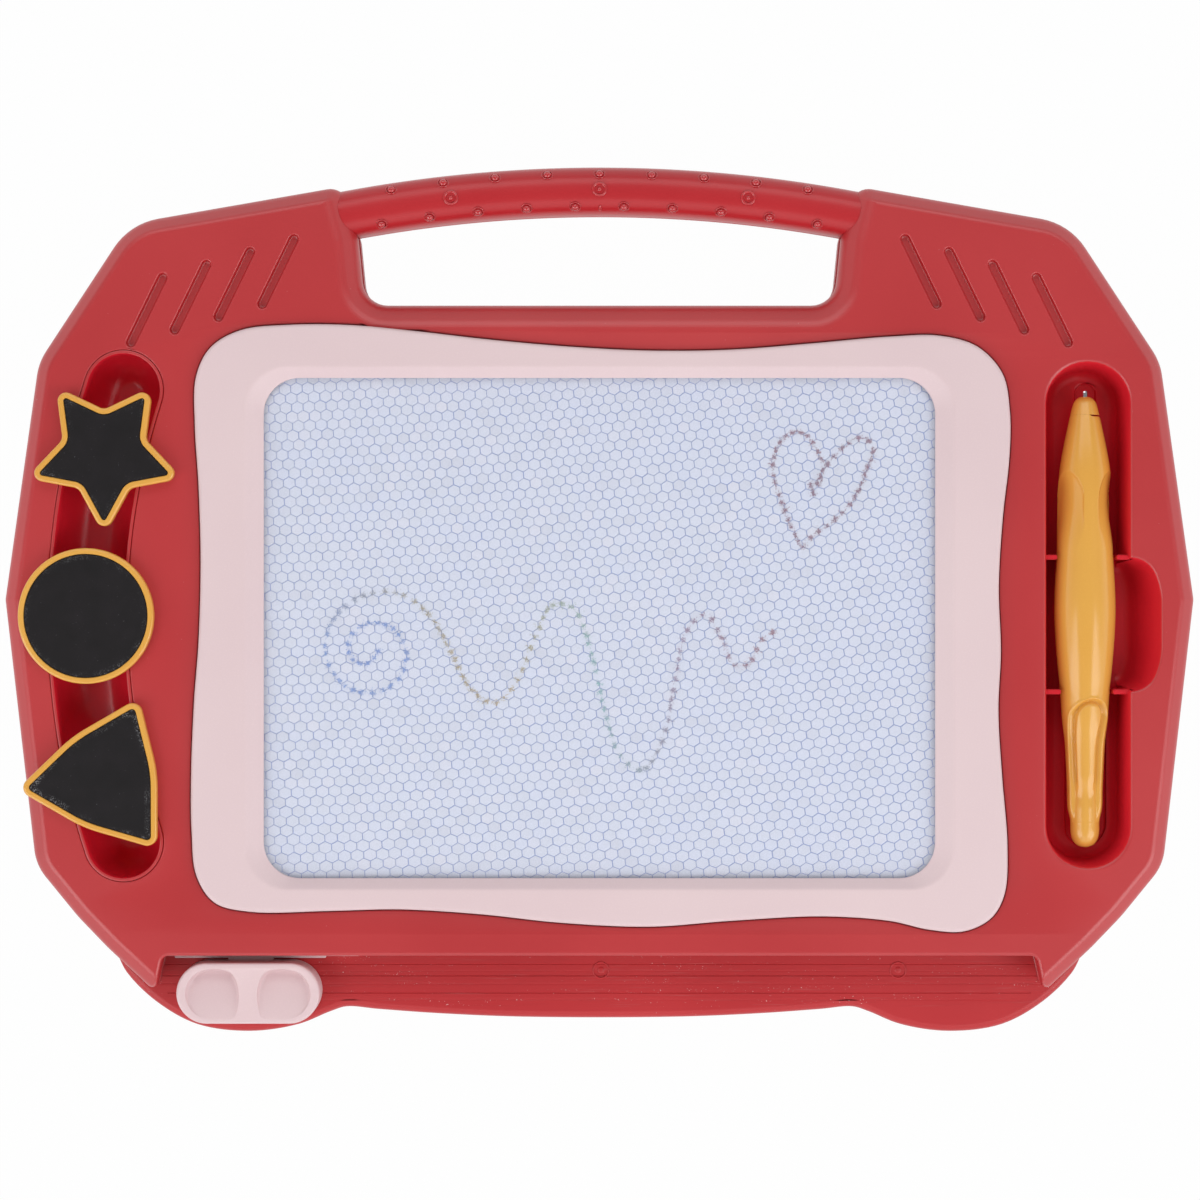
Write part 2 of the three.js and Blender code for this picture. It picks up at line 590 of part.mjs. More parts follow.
function frontShell() {
  const low = COVER_RIM_TOP + SEAT_GAP;
  const slope = BEVEL_INSET / (SHELL_TOP - SHELL_EDGE_TOP);
  const plateLow = SHELL_TOP - WALL;
  const block = tapered(shellOutline, [
    [low, 0], [SHELL_TOP - FRONT_EDGE_DROP, 0], [SHELL_TOP, FRONT_EDGE_INSET],
  ]).intersect(tapered(sideOutline, [
    [low - OVERRUN, 0], [SHELL_EDGE_TOP, 0], [SHELL_TOP + OVERRUN, BEVEL_INSET + slope * OVERRUN],
  ]));
  const hollow = tapered(sideOutline, [
    [low - OVERRUN, WALL], [SHELL_EDGE_TOP, WALL], [plateLow, WALL + slope * (plateLow - SHELL_EDGE_TOP)],
  ]).subtract(box(
    -HALF_LENGTH, HALF_LENGTH, -2 * HALF_HEIGHT, frontEdge + WALL, 0, SHELL_TOP,
  ));
  const wellWall = windowAt(
    wellSide + LEDGE_THICKNESS, wellEnd + LEDGE_THICKNESS, SHEET_RADIUS + LEDGE_THICKNESS,
  );
  const carcass = together([
    block.subtract(hollow),
    prism(wellWall, LEDGE_TOP - LEDGE_THICKNESS, plateLow + OVERRUN),
    prism(inset(trayOutline, -TRAY_WALL), TRAY_FLOOR_TOP - TRAY_WALL, plateLow + OVERRUN),
    prism(inset(pocketOutline, -TRAY_WALL), TRAY_FLOOR_TOP - TRAY_WALL, plateLow + OVERRUN),
    ...housingScrews.map((spot) => screwPost(spot, 0, plateLow + OVERRUN)),
  ]);
  const cuts = [
    prism(windowAt(wellSide, wellEnd, SHEET_RADIUS), LEDGE_TOP, SHELL_TOP + OVERRUN),
    prism(windowAt(SHEET_SIDE - LEDGE_WIDTH, SHEET_END - LEDGE_WIDTH, SHEET_RADIUS), low, SHELL_TOP),
    prism(trayOutline, TRAY_FLOOR_TOP, SHELL_TOP + OVERRUN),
    prism(pocketOutline, TRAY_FLOOR_TOP, SHELL_TOP + OVERRUN),
    prism(channelOutline(CHANNEL_HALF_WIDTH), plateLow - OVERRUN, SHELL_TOP + OVERRUN),
    box(
      -slitHalfLength, slitHalfLength, shoeFront - SEAT_GAP, frontEdge + WALL + OVERRUN,
      low - OVERRUN, SHELF_TOP + SLIT_HEIGHT,
    ),
    gripWhole(SEAT_GAP),
    ...housingScrews.map((spot) => pilotHole(spot, 0)),
  ];
  for (let index = 0; index < GROOVES; index += 1) {
    cuts.push(grooveCut(1, index), grooveCut(-1, index));
  }
  return together([without(carcass, cuts), ...ribShares.map(penRib)]);
}

function rearCover() {
  const body = tapered(sideOutline, [[0, COVER_EDGE_INSET], [COVER_EDGE_RISE, 0], [COVER_RIM_TOP, 0]]);
  const hollow = prism(inset(sideOutline, WALL), COVER_FLOOR, COVER_RIM_TOP + OVERRUN);
  const inner = frontEdge + SHELF_REACH;
  const beyond = box(-HALF_LENGTH, HALF_LENGTH, -2 * HALF_HEIGHT, frontEdge, -OVERRUN, SHELL_TOP);
  const front = box(-HALF_LENGTH, HALF_LENGTH, -2 * HALF_HEIGHT, inner, -OVERRUN, SHELL_TOP);
  const half = shelfShares.map(place);
  const rightLobe = half.slice(1);
  const lobes = new THREE.SplineCurve([...mirrored(rightLobe), ...rightLobe]).getPoints(SHELF_STEPS);
  const inside = [half.at(-1).x, -half.at(-1).x].map((x) => new THREE.Vector2(x, inner));
  const outline = [...lobes, ...inside];
  const shelf = tapered(outline, [
    [0, COVER_EDGE_INSET], [COVER_EDGE_RISE, 0], [SHELF_TOP - SHELF_EDGE_DROP, 0],
    [SHELF_TOP - SHELF_EDGE_DROP / 3, SHELF_EDGE_INSET / 3], [SHELF_TOP, SHELF_EDGE_INSET],
  ]);
  const ribPitch = 2 * half.at(-1).x / (SHELF_RIBS + 1);
  const ribs = Array.from({ length: SHELF_RIBS }, (_, i) => {
    const x = (i + 1) * ribPitch - half.at(-1).x;
    return box(x - SHELF_RIB / 2, x + SHELF_RIB / 2, -2 * HALF_HEIGHT, inner, -2 * OVERRUN, SHELF_TOP);
  });
  const under = without(prism(inset(outline, SHELF_WALL), -OVERRUN, SHELF_TOP - SHELF_SKIN), ribs);
  const rail = box(
    sliderX - BAR_WIDTH, BAR_WIDTH - sliderX, railY - RAIL_WIDTH / 2, railY + RAIL_WIDTH / 2,
    0, barLow - SEAT_GAP,
  );
  const carcass = together([
    body.subtract(beyond).subtract(hollow.subtract(front)),
    shelf,
    rail,
    ...cradleShares.map((share) => cradle(channelY + share * CHANNEL_LENGTH)),
    ...housingScrews.map((spot) => screwBoss(spot, 0, COVER_FLOOR / 2)),
  ]);
  return without(carcass, [
    under,
    gripWhole(SEAT_GAP),
    ...housingScrews.flatMap((spot) => screwHoles(spot, 0)),
  ]);
}

// Ribs on the cover that hold the stamp tray up against the shell
const cradle = (y) => box(
  channelCentre(y) - CRADLE_LENGTH / 2, channelCentre(y) + CRADLE_LENGTH / 2,
  y - CRADLE_WIDTH / 2, y + CRADLE_WIDTH / 2, 0, TRAY_FLOOR_TOP - CHANNEL_WALL - SEAT_GAP,
);

function stampTray() {
  const flangeTop = SHELL_TOP - WALL - SEAT_GAP;
  const lip = CHANNEL_HALF_WIDTH - SEAT_GAP;
  const innerHalf = lip - CHANNEL_LIP;
  const middle = TRAY_FLOOR_TOP + innerHalf;
  const outline = channelOutline(innerHalf);
  const steepest = Math.acos(CHANNEL_FLOOR_HALF / innerHalf);
  const bowl = (radius, top) => {
    const levels = [];
    for (let step = 0; step <= BOWL_STEPS; step += 1) {
      const angle = steepest * (1 - step / BOWL_STEPS);
      levels.push([middle - radius * Math.sin(angle), innerHalf - radius * Math.cos(angle)]);
    }
    return tapered(outline, [...levels, [top, innerHalf - radius]]);
  };
  const flangeLow = flangeTop - CHANNEL_FLANGE_THICKNESS;
  return together([
    bowl(innerHalf + CHANNEL_WALL, flangeTop),
    prism(channelOutline(CHANNEL_HALF_WIDTH + CHANNEL_FLANGE), flangeLow, flangeTop),
    prism(channelOutline(lip), flangeLow, SHELL_TOP),
  ]).subtract(bowl(innerHalf, SHELL_TOP + OVERRUN));
}

function screenBezel() {
  const half = new THREE.Vector2(WINDOW_LENGTH / 2 + BEZEL_SIDE, WINDOW_HEIGHT / 2 + BEZEL_END);
  const points = bezelShares.map(([x, y]) => new THREE.Vector2(x * half.x, windowY + y * half.y));
  const seat = SHELL_TOP + SEAT_GAP;
  const flange = tapered(smooth(points, 2 * points.length), [
    [seat, 0], [bezelTop - BEZEL_EDGE, 0], [bezelTop, BEZEL_EDGE],
  ]);
  const skirt = prism(windowAt(SHEET_SIDE, SHEET_END, SHEET_RADIUS), skirtLow, seat + OVERRUN / 2);
  const slope = windowAt(BEZEL_SLOPE_SIDE, BEZEL_SLOPE_END, BEZEL_SLOPE_RADIUS);
  const window = windowAt(0, 0, WINDOW_RADIUS);
  return flange.add(skirt).subtract(loft([
    { height: skirtLow - OVERRUN, ring: window }, { height: skirtLow + WINDOW_LIP, ring: window },
    { height: bezelTop, ring: slope }, { height: bezelTop + OVERRUN, ring: slope },
  ]));
}

const sheet = (low, thickness) => (
  prism(windowAt(SHEET_SIDE, SHEET_END, SHEET_RADIUS), low, low + thickness)
);

function foamTape() {
  const margin = LEDGE_WIDTH - SEAT_GAP;
  const hole = windowAt(SHEET_SIDE - margin, SHEET_END - margin, SHEET_RADIUS);
  const cut = prism(hole, foamLow - OVERRUN, foamLow + FOAM_THICKNESS + OVERRUN);
  return sheet(foamLow, FOAM_THICKNESS).subtract(cut);
}

function gripHalf(front) {
  const parting = GRIP_MIDDLE_HEIGHT + (front ? SEAT_GAP / 2 : -SEAT_GAP / 2);
  const keep = (low, high) => box(-GRIP_SPAN, GRIP_SPAN, 0, 2 * HALF_HEIGHT, low, high);
  const part = front ? keep(parting, 2 * SHELL_TOP) : keep(-SHELL_TOP, parting);
  const shell = gripWhole(0).subtract(gripSolid(GRIP_FACE_SPAN - GRIP_WALL, -GRIP_WALL)).subtract(
    gripSolid(GRIP_SPAN + OVERRUN, -GRIP_WALL - GRIP_TENON_STEP),
  ).intersect(part);
  if (front) {
    const posts = gripScrews.map((spot) => screwPost(spot, gripLow, gripTop - GRIP_WALL / 2));
    return without(together([shell, ...posts]), gripScrews.map((spot) => pilotHole(spot, gripLow)));
  }
  const bosses = gripScrews.map((spot) => screwBoss(spot, gripLow, gripLow + GRIP_WALL / 2));
  const holes = gripScrews.flatMap((spot) => screwHoles(spot, gripLow));
  return without(together([shell, ...bosses]), holes);
}

function eraserKnob() {
  const y = shoeFront - KNOB_GAP + SHOE_SHOW - KNOB_WIDTH / 2;
  const low = SHELF_TOP + SEAT_GAP;
  const top = low + KNOB_HEIGHT;
  const outline = rectangle(
    sliderX - KNOB_LENGTH / 2, sliderX + KNOB_LENGTH / 2,
    y - KNOB_WIDTH / 2, y + KNOB_WIDTH / 2, KNOB_WIDTH / 2,
  );
  const body = tapered(outline, [[low, 0], [top - KNOB_EDGE, 0], [top, KNOB_EDGE]]);
  const thumbs = [-1, 1].map((side) => {
    const hollow = new THREE.SphereGeometry(1, THUMB_SIDES, THUMB_SIDES / 2);
    hollow.scale(THUMB_LENGTH / 2, THUMB_WIDTH / 2, THUMB_DEPTH);
    hollow.translate(sliderX + side * (THUMB_BRIDGE + THUMB_LENGTH) / 2, y, top);
    return solidOf(hollow);
  });
  const pocket = box(
    sliderX - TAB_LENGTH / 2 - SEAT_GAP, sliderX + TAB_LENGTH / 2 + SEAT_GAP,
    shoeFront - TAB_REACH - SEAT_GAP, y + KNOB_WIDTH, low - OVERRUN, shoeTop + SEAT_GAP,
  );
  return without(body, [...thumbs, pocket]);
}

function eraserCarrier() {
  const inside = shoeFront + SHOE_WIDTH;
  const across = (length, front, back, low, high) => (
    box(sliderX - length / 2, sliderX + length / 2, front, back, low, high)
  );
  return together([
    across(SHOE_LENGTH, shoeFront, inside, shoeLow, shoeTop),
    across(TAB_LENGTH, shoeFront - TAB_REACH, inside, shoeLow, shoeTop),
    across(BAR_WIDTH, inside - BAR_OVERLAP, windowBack, barLow, barTop),
  ]);
}

const eraserMagnet = () => box(
  sliderX - MAGNET_WIDTH / 2, sliderX + MAGNET_WIDTH / 2,
  windowFront + MAGNET_END_GAP, windowBack - MAGNET_END_GAP,
  barTop + SEAT_GAP, barTop + SEAT_GAP + MAGNET_THICKNESS,
);

// Pen pieces are turned about Y, then laid in the tray
const laid = (solid) => solid.translate(penX, penNoseY, penZ);
const penPoint = (share) => [penRadiusAt(share), -share * PEN_LENGTH];

function penNose() {
  const end = PEN_NOSE_LENGTH / PEN_LENGTH;
  const inner = penProfileShares.map(([share]) => share).filter((share) => share < end);
  const profile = [[0, -PEN_NOSE_LENGTH], penPoint(end), ...inner.toReversed().map(penPoint), [0, 0]];
  const socket = PEN_TIP_RADIUS + PEN_TIP_ROOM;
  const bottom = -PEN_TIP_ROOT - PEN_TIP_ROOM;
  const hole = [[0, bottom], [socket, bottom], [socket, OVERRUN], [0, OVERRUN]];
  return laid(turned(profile, PEN_SIDES).subtract(turned(hole, SCREW_SIDES)));
}

function penTip() {
  const profile = [[0, -PEN_TIP_ROOT], [PEN_TIP_RADIUS, -PEN_TIP_ROOT]];
  for (let step = 0; step <= TIP_STEPS; step += 1) {
    const angle = Math.PI / 2 * step / TIP_STEPS;
    const along = PEN_TIP_REACH - PEN_TIP_RADIUS * (1 - Math.sin(angle));
    profile.push([PEN_TIP_RADIUS * Math.cos(angle), along]);
  }
  return laid(turned(profile, SCREW_SIDES));
}

function penBarrel() {
  const start = penStart / PEN_LENGTH;
  const inner = penProfileShares.map(([share]) => share).filter((share) => share > start);
  const profile = [...inner.toReversed().map(penPoint), penPoint(start), [0, -penStart]];
  const scoops = Array.from({ length: SCOOPS }, (_, i) => {
    const angle = SCOOP_TURN + 2 * Math.PI * i / SCOOPS;
    const geometry = new THREE.SphereGeometry(1, THUMB_SIDES, THUMB_SIDES / 2);
    geometry.scale(SCOOP_BREADTH, SCOOP_LENGTH / 2, SCOOP_HEIGHT / 2);
    geometry.translate(penRadiusAt(scoopShare) - SCOOP_DEPTH + SCOOP_BREADTH, -scoopShare * PEN_LENGTH, 0);
    geometry.rotateY(-angle);
    return solidOf(geometry);
  });
  return laid(without(turned(profile, PEN_SIDES), scoops));
}

// Stamps lie face up, each grip hanging in the tray
function starOutline() {
  const origin = new THREE.Vector2();
  const corners = Array.from({ length: 2 * STAR_TIP_COUNT }, (_, i) => {
    const radius = i % 2 === 0 ? STAR_RADIUS : STAR_NOTCH_RADIUS;
    return new THREE.Vector2(radius, 0).rotateAround(origin, STAR_TURN + Math.PI * i / STAR_TIP_COUNT);
  });
  return rounded(corners, corners.map((_, i) => (i % 2 === 0 ? STAR_TIP_FILLET : STAR_NOTCH_FILLET)));
}

function triangleOutline() {
  const origin = new THREE.Vector2();
  const corners = Array.from({ length: 2 * TRIANGLE_CORNER_COUNT }, (_, i) => {
    const radius = i % 2 === 0 ? TRIANGLE_RADIUS : TRIANGLE_RADIUS / 2 + TRIANGLE_BULGE;
    const turn = TRIANGLE_TURN + Math.PI * i / TRIANGLE_CORNER_COUNT;
    return new THREE.Vector2(radius, 0).rotateAround(origin, turn);
  });
  const radii = corners.map((_, i) => (i % 2 === 0 ? TRIANGLE_CORNER_FILLET : TRIANGLE_EDGE_FILLET));
  return rounded(corners, radii);
}

const stamps = [
  ['star_stamp', starOutline(), STAMP_PITCH],
  ['round_stamp', circle(ROUND_STAMP_RADIUS, ROUND_STAMP_SIDES), 0],
  ['triangle_stamp', triangleOutline(), -STAMP_PITCH],
];

function addStamp([name, shape, along]) {
  const y = channelY + along;
  const outline = shifted(shape, channelCentre(y), y);
  const low = SHELL_TOP + SEAT_GAP;
  const top = low + STAMP_THICKNESS;
  const sheetLow = top - STAMP_RECESS - MAGNET_SHEET;
  const plate = tapered(outline, [
    [low, STAMP_EDGE], [low + STAMP_EDGE, 0], [top - STAMP_EDGE, 0], [top, STAMP_EDGE],
  ]);
  const recess = prism(inset(outline, STAMP_RIM), sheetLow - SEAT_GAP, top + OVERRUN);
  const middle = STAMP_GRIP_LENGTH / 2;
  const grip = turned([
    [0, -STAMP_GRIP_LENGTH], [STAMP_GRIP_RADIUS - STAMP_EDGE, -STAMP_GRIP_LENGTH],
    [STAMP_GRIP_RADIUS, STAMP_EDGE - STAMP_GRIP_LENGTH], [STAMP_GRIP_WAIST, -middle],
    [STAMP_GRIP_WAIST, 0], [STAMP_GRIP_RADIUS, OVERRUN], [0, OVERRUN],
  ], PEN_SIDES).rotate(90, 0, 0).translate(channelCentre(y), y, low);
  addPiece(`${name}_body`, plate.add(grip).subtract(recess), mustard);
  const face = inset(outline, STAMP_RIM + SEAT_GAP);
  addPiece(`${name}_magnet`, prism(face, sheetLow, sheetLow + MAGNET_SHEET), magnetBlack);
}

function screw({ x, y }, base) {
  const profile = [
    [0, headLow], [SCREW_HEAD_RADIUS - SCREW_EDGE, headLow], [SCREW_HEAD_RADIUS, headLow + SCREW_EDGE],
    [SCREW_HEAD_RADIUS, headLow + SCREW_HEAD_HEIGHT], [SCREW_RADIUS, headLow + SCREW_HEAD_HEIGHT],
    [SCREW_RADIUS, headLow + SCREW_HEAD_HEIGHT + SCREW_LENGTH - SCREW_RADIUS],
    [0, headLow + SCREW_HEAD_HEIGHT + SCREW_LENGTH],
  ];
  return turned(profile, SCREW_SIDES).rotate(90, 0, 0).translate(x, y, base);
}

addPiece('front_shell', frontShell(), matteRed);
addPiece('rear_cover', rearCover(), matteRed);
addPiece('handle_front_half', gripHalf(true), matteRed);
addPiece('handle_rear_half', gripHalf(false), matteRed);
addPiece('stamp_tray', stampTray(), glossRed);
addPiece('screen_bezel', screenBezel(), palePink);
addPiece('screen_clear_film', sheet(filmLow, FILM_THICKNESS), clearPlastic);
addPiece('screen_honeycomb', sheet(combLow, HONEYCOMB_THICKNESS), screenWhite);
addPiece('screen_back_sheet', sheet(backLow, BACK_SHEET_THICKNESS), backingGrey);
addPiece('screen_foam_tape', foamTape(), foamWhite);
addPiece('eraser_knob', eraserKnob(), palePink);
addPiece('eraser_carrier', eraserCarrier(), palePink);
addPiece('eraser_magnet', eraserMagnet(), magnetBlack);
addPiece('pen_barrel', penBarrel(), mustard);
addPiece('pen_nose', penNose(), mustard);
addPiece('pen_tip_magnet', penTip(), screwSteel);
stamps.forEach(addStamp);
housingScrews.forEach((spot, i) => addPiece(`housing_screw_${i + 1}`, screw(spot, 0), screwSteel));
gripScrews.forEach((spot, i) => addPiece(`handle_screw_${i + 1}`, screw(spot, gripLow), screwSteel));

export default board;
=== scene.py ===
# %% [markdown]
# # A magnetic drawing board
# The board is a shallow red box with a carry grip. A honeycomb screen sits in a pale bezel, an eraser slides
# on the front shelf, a pen lies in its tray and three magnetic stamps stand in a bowed tray.
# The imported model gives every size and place, and this script makes the surfaces that are seen.

# %% The fixed frame
import math
import random

import bmesh
import bpy
from mathutils import Matrix, Vector
from mathutils.geometry import tessellate_polygon
from mathutils.kdtree import KDTree


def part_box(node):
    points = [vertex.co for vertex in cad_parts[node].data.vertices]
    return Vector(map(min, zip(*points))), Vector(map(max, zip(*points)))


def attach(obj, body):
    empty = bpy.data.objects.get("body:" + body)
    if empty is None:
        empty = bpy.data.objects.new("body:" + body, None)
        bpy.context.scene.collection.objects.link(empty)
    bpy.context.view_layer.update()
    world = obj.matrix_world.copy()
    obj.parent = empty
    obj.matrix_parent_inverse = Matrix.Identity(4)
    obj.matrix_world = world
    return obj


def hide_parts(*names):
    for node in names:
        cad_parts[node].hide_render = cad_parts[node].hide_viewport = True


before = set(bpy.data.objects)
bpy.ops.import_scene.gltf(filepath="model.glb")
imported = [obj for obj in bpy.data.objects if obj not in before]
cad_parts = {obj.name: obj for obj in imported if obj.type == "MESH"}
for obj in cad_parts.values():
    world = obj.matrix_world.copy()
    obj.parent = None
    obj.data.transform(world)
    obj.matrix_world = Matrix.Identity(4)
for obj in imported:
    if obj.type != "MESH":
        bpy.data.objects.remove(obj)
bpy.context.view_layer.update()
MM = 0.001

# %% [markdown]
# ## Nodes written as expressions
# A material or a Geometry Nodes tree is a web of small boxes. It could be wired by hand, link by link, but a
# formula is easier to read. One class wraps a socket and turns + and * into Math nodes, and one method adds
# any other node.

# %% Nodes as expressions
def sign(operation, swapped=False):
    """A method that turns one of Python's signs into a Math node."""
    def method(self, other):
        values = (other, self) if swapped else (self, other)
        return self.math(operation, *values)
    return method


class Wire:
    """An output socket. Arithmetic on it adds Math nodes to its tree."""

    def __init__(self, web, socket):
        self.web, self.socket = web, socket

    def math(self, operation, *values):
        inputs = dict(enumerate(values))
        return self.web.node("ShaderNodeMath", {"operation": operation}, inputs)

    __add__ = sign("ADD")
    __radd__ = sign("ADD", swapped=True)
    __sub__ = sign("SUBTRACT")
    __rsub__ = sign("SUBTRACT", swapped=True)
    __mul__ = sign("MULTIPLY")
    __rmul__ = sign("MULTIPLY", swapped=True)
    __truediv__ = sign("DIVIDE")
    __gt__ = sign("GREATER_THAN")
    __lt__ = sign("LESS_THAN")


class Web:
    """A node tree with one method that adds a node, its settings and its inputs."""

    def __init__(self, tree):
        self.tree = tree
        self.tree.nodes.clear()

    def node(self, kind, settings=None, inputs=None, output=0):
        made = self.tree.nodes.new(kind)
        for key, value in (settings or {}).items():
            if key == "stops":
                self.set_stops(made.color_ramp, value)
            else:
                setattr(made, key, value)
        for key, value in (inputs or {}).items():
            if isinstance(value, Wire):
                self.tree.links.new(value.socket, made.inputs[key])
            else:
                made.inputs[key].default_value = value
        return Wire(self, made.outputs[output]) if len(made.outputs) else None

    def set_stops(self, ramp, stops):
        while len(ramp.elements) < len(stops):
            ramp.elements.new(1)
        for element, (position, colour) in zip(ramp.elements, stops):
            element.position = position
            element.color = (*colour, 1)


# %% [markdown]
# ## Finishes
# Moulded plastic is never one flat colour: it has a fine spark-eroded grain, faint broad shading where it
# cooled unevenly, and a little pale dust. Noise of several sizes on Object coordinates gives these, so they
# stay put on each piece. Colours are written as the eye reads them, from 0 to 255.

# %% Shader helpers
BROAD_PATCH = 70 * MM
FINE_GRAIN = 0.5 * MM
DUST_COLOUR = (0.72, 0.5, 0.48)


def linear(red, green, blue):
    """A colour from the screen's 0 to 255 scale as linear light."""
    shares = (value / 255 for value in (red, green, blue))
    return tuple(s / 12.92 if s <= 0.04045 else ((s + 0.055) / 1.055) ** 2.4 for s in shares)


def mixed(web, factor, first, second):
    rgba = [value if isinstance(value, Wire) else (*value, 1) for value in (first, second)]
    return web.node("ShaderNodeMix", {"data_type": "RGBA"}, {0: factor, 6: rgba[0], 7: rgba[1]}, 2)


def noise(web, place, scale, detail=2.0, roughness=0.5):
    inputs = {"Vector": place, "Scale": scale, "Detail": detail, "Roughness": roughness}
    return web.node("ShaderNodeTexNoise", None, inputs)


def surface(web, colour, roughness, normal=None, **constants):
    """The Principled shader and the output, with whatever varies linked in."""
    inputs = {"Base Color": colour if isinstance(colour, Wire) else (*colour, 1), "Roughness": roughness}
    if normal is not None:
        inputs["Normal"] = normal
    inputs.update({name.replace("_", " "): value for name, value in constants.items()})
    shader = web.node("ShaderNodeBsdfPrincipled", None, inputs)
    web.node("ShaderNodeOutputMaterial", None, {"Surface": shader})


def new_material(name):
    material = bpy.data.materials.new(name)
    material.use_nodes = True
    return material, Web(material.node_tree)


def new_finish(name):
    """A new material, with the coordinates that stay put on a piece."""
    material, web = new_material(name)
    return material, web, web.node("ShaderNodeTexCoord", output="Object")


def bumped(web, height, strength, depth):
    """Relief that is too fine to model."""
    return web.node("ShaderNodeBump", None, {"Height": height, "Strength": strength, "Distance": depth})


def mottled(web, place, colour, deep):
    """Broad shading between two colours, and the noise that gives it."""
    broad = noise(web, place, 1 / BROAD_PATCH, 3)
    return mixed(web, (broad - 0.35) * 2.2, linear(*deep), linear(*colour)), broad


# %% Moulded plastic
def moulded(name, colour, deep, rough, grain=0.1, dust=0.0, **constants):
    """Plastic with grain, broad mottling between two colours, and dust specks."""
    material, web, place = new_finish(name)
    blend, broad = mottled(web, place, colour, deep)
    fine = noise(web, place, 1 / FINE_GRAIN, 3)
    lighter = [min(value * 1.35 + 0.01, 1) for value in linear(*colour)]
    blend = mixed(web, (fine - 0.5) * 0.4, blend, lighter)
    if dust:
        blend = dusted(web, place, blend, dust)
    shine = fine * 0.1 + broad * 0.06 + (rough - 0.08)
    surface(web, blend, shine, bumped(web, fine, grain, 0.05 * MM), **constants)
    return material


def dusted(web, place, colour, amount):
    """A few pale specks, in patches."""
    speck = (noise(web, place, 1 / (0.8 * MM), 1) - 0.76) * 14
    patch = noise(web, place, 1 / (24 * MM), 2) > 0.53
    return mixed(web, speck * patch * amount, colour, DUST_COLOUR)


# %% [markdown]
# The shelf has the shell's plastic, but the eraser has rubbed it dull. Noise that is drawn out along the
# board gives the scratches, and they stay inside the band that the eraser reaches. The stamps' faces are
# another material: a black sheet with pits, whose rim is rubbed pale, most of all at the corners.

# %% The worn shelf
SHELF_TRACKS = (-134.5 * MM, -116.5 * MM)
DARK_SCRATCH = linear(142, 10, 20)
PALE_SCRATCH = linear(216, 116, 116)
FLAKE_COLOUR = (0.86, 0.74, 0.72)


def worn_shelf(name, colour, deep, rough):
    """The shell's plastic, dulled and scratched lengthways where the eraser runs."""
    material, web, place = new_finish(name)
    blend = mottled(web, place, colour, deep)[0]
    fine = noise(web, place, 1 / FINE_GRAIN, 3)
    drawn_out = web.node("ShaderNodeMapping", None, {"Vector": place, "Scale": (0.03, 1, 1)})
    scratch = noise(web, drawn_out, 1 / (0.55 * MM), 3)
    height = web.node("ShaderNodeSeparateXYZ", None, {0: place}, 1)
    track = (height > SHELF_TRACKS[0]) * (height < SHELF_TRACKS[1])
    blend = mixed(web, (scratch - 0.5) * 0.9 * track, blend, DARK_SCRATCH)
    blend = mixed(web, (scratch - 0.62) * 2 * track, blend, PALE_SCRATCH)
    flake = (noise(web, place, 1 / (0.4 * MM), 1) - 0.72) * 14
    line = noise(web, drawn_out, 1 / (1.6 * MM), 1) > 0.57
    blend = mixed(web, flake * line * track, blend, FLAKE_COLOUR)
    blend = dusted(web, place, blend, 0.5)
    shine = fine * 0.1 + scratch * 0.08 + (rough - 0.1)
    bump = bumped(web, fine + scratch * track, 0.16, 0.06 * MM)
    surface(web, blend, shine, bump, Specular_IOR_Level=0.5)
    return material


# %% Magnet sheet
def magnet_face(name):
    """Black rubbery magnet sheet with fine pits, dust and a rim worn pale in places."""
    material, web, place = new_finish(name)
    fine = noise(web, place, 1 / (0.35 * MM), 3)
    patch = noise(web, place, 1 / (9 * MM), 2)
    colour = mixed(web, (patch - 0.3) * 2, linear(20, 17, 19), linear(28, 24, 27))
    speck = (noise(web, place, 1 / (0.42 * MM), 1) - 0.75) * 9 * (patch > 0.5)
    colour = mixed(web, speck, colour, linear(120, 118, 124))
    scuff = attribute(web, "worn") * ((patch - 0.5) * 8) * ((fine - 0.5) * 6)
    colour = mixed(web, scuff, colour, linear(150, 150, 152))
    surface(web, colour, fine * 0.2 + 0.5, bumped(web, fine, 0.3, 0.05 * MM), Specular_IOR_Level=0.25)
    return material


def attribute(web, name):
    """A value stored on the points of a mesh."""
    return web.node("ShaderNodeAttribute", {"attribute_name": name}, None, 2)


# %% The plastics
shell_red = moulded("shell_red", (191, 44, 48), (182, 36, 41), 0.37, dust=0.25, Specular_IOR_Level=0.85)
grip_red = moulded("grip_red", (193, 42, 48), (184, 36, 43), 0.32, grain=0.03, Specular_IOR_Level=0.5)
stud_red = moulded("stud_red", (194, 44, 50), (186, 38, 45), 0.14, grain=0.01, Specular_IOR_Level=0.9)
shelf_red = worn_shelf("shelf_red", (194, 47, 51), (185, 39, 44), 0.42)
# The stamp tray is the shell's red with a gloss of its own. Its colour is also painted lighter and redder as
# painted light, to offset the shade down in the deep trough.
tray_red = moulded("tray_red", (232, 40, 60), (222, 34, 53), 0.24, grain=0.02, Specular_IOR_Level=0.5)
# The pen tray is the shell's own plastic. Its colour is painted lighter and redder as painted light, to
# offset the shade on the tray's walls, floor and ribs.
pen_tray_lit_red = moulded("pen_tray_lit_red", (216, 36, 50), (206, 30, 44), 0.34, grain=0.04, Specular_IOR_Level=0.3)
bezel_pink = moulded("bezel_pink", (226, 203, 205), (222, 198, 201), 0.5, grain=0.06)
eraser_pink = moulded("eraser_pink", (229, 203, 205), (224, 197, 200), 0.46, grain=0.06)
toy_yellow = moulded("toy_yellow", (230, 172, 80), (225, 163, 70), 0.2, grain=0.01, Specular_IOR_Level=0.65)
magnet_black = magnet_face("magnet_black")
backing_grey = moulded("backing_grey", (201, 203, 208), (190, 192, 198), 0.6)
foam_white = moulded("foam_white", (241, 239, 233), (225, 222, 214), 0.9, grain=0.6)


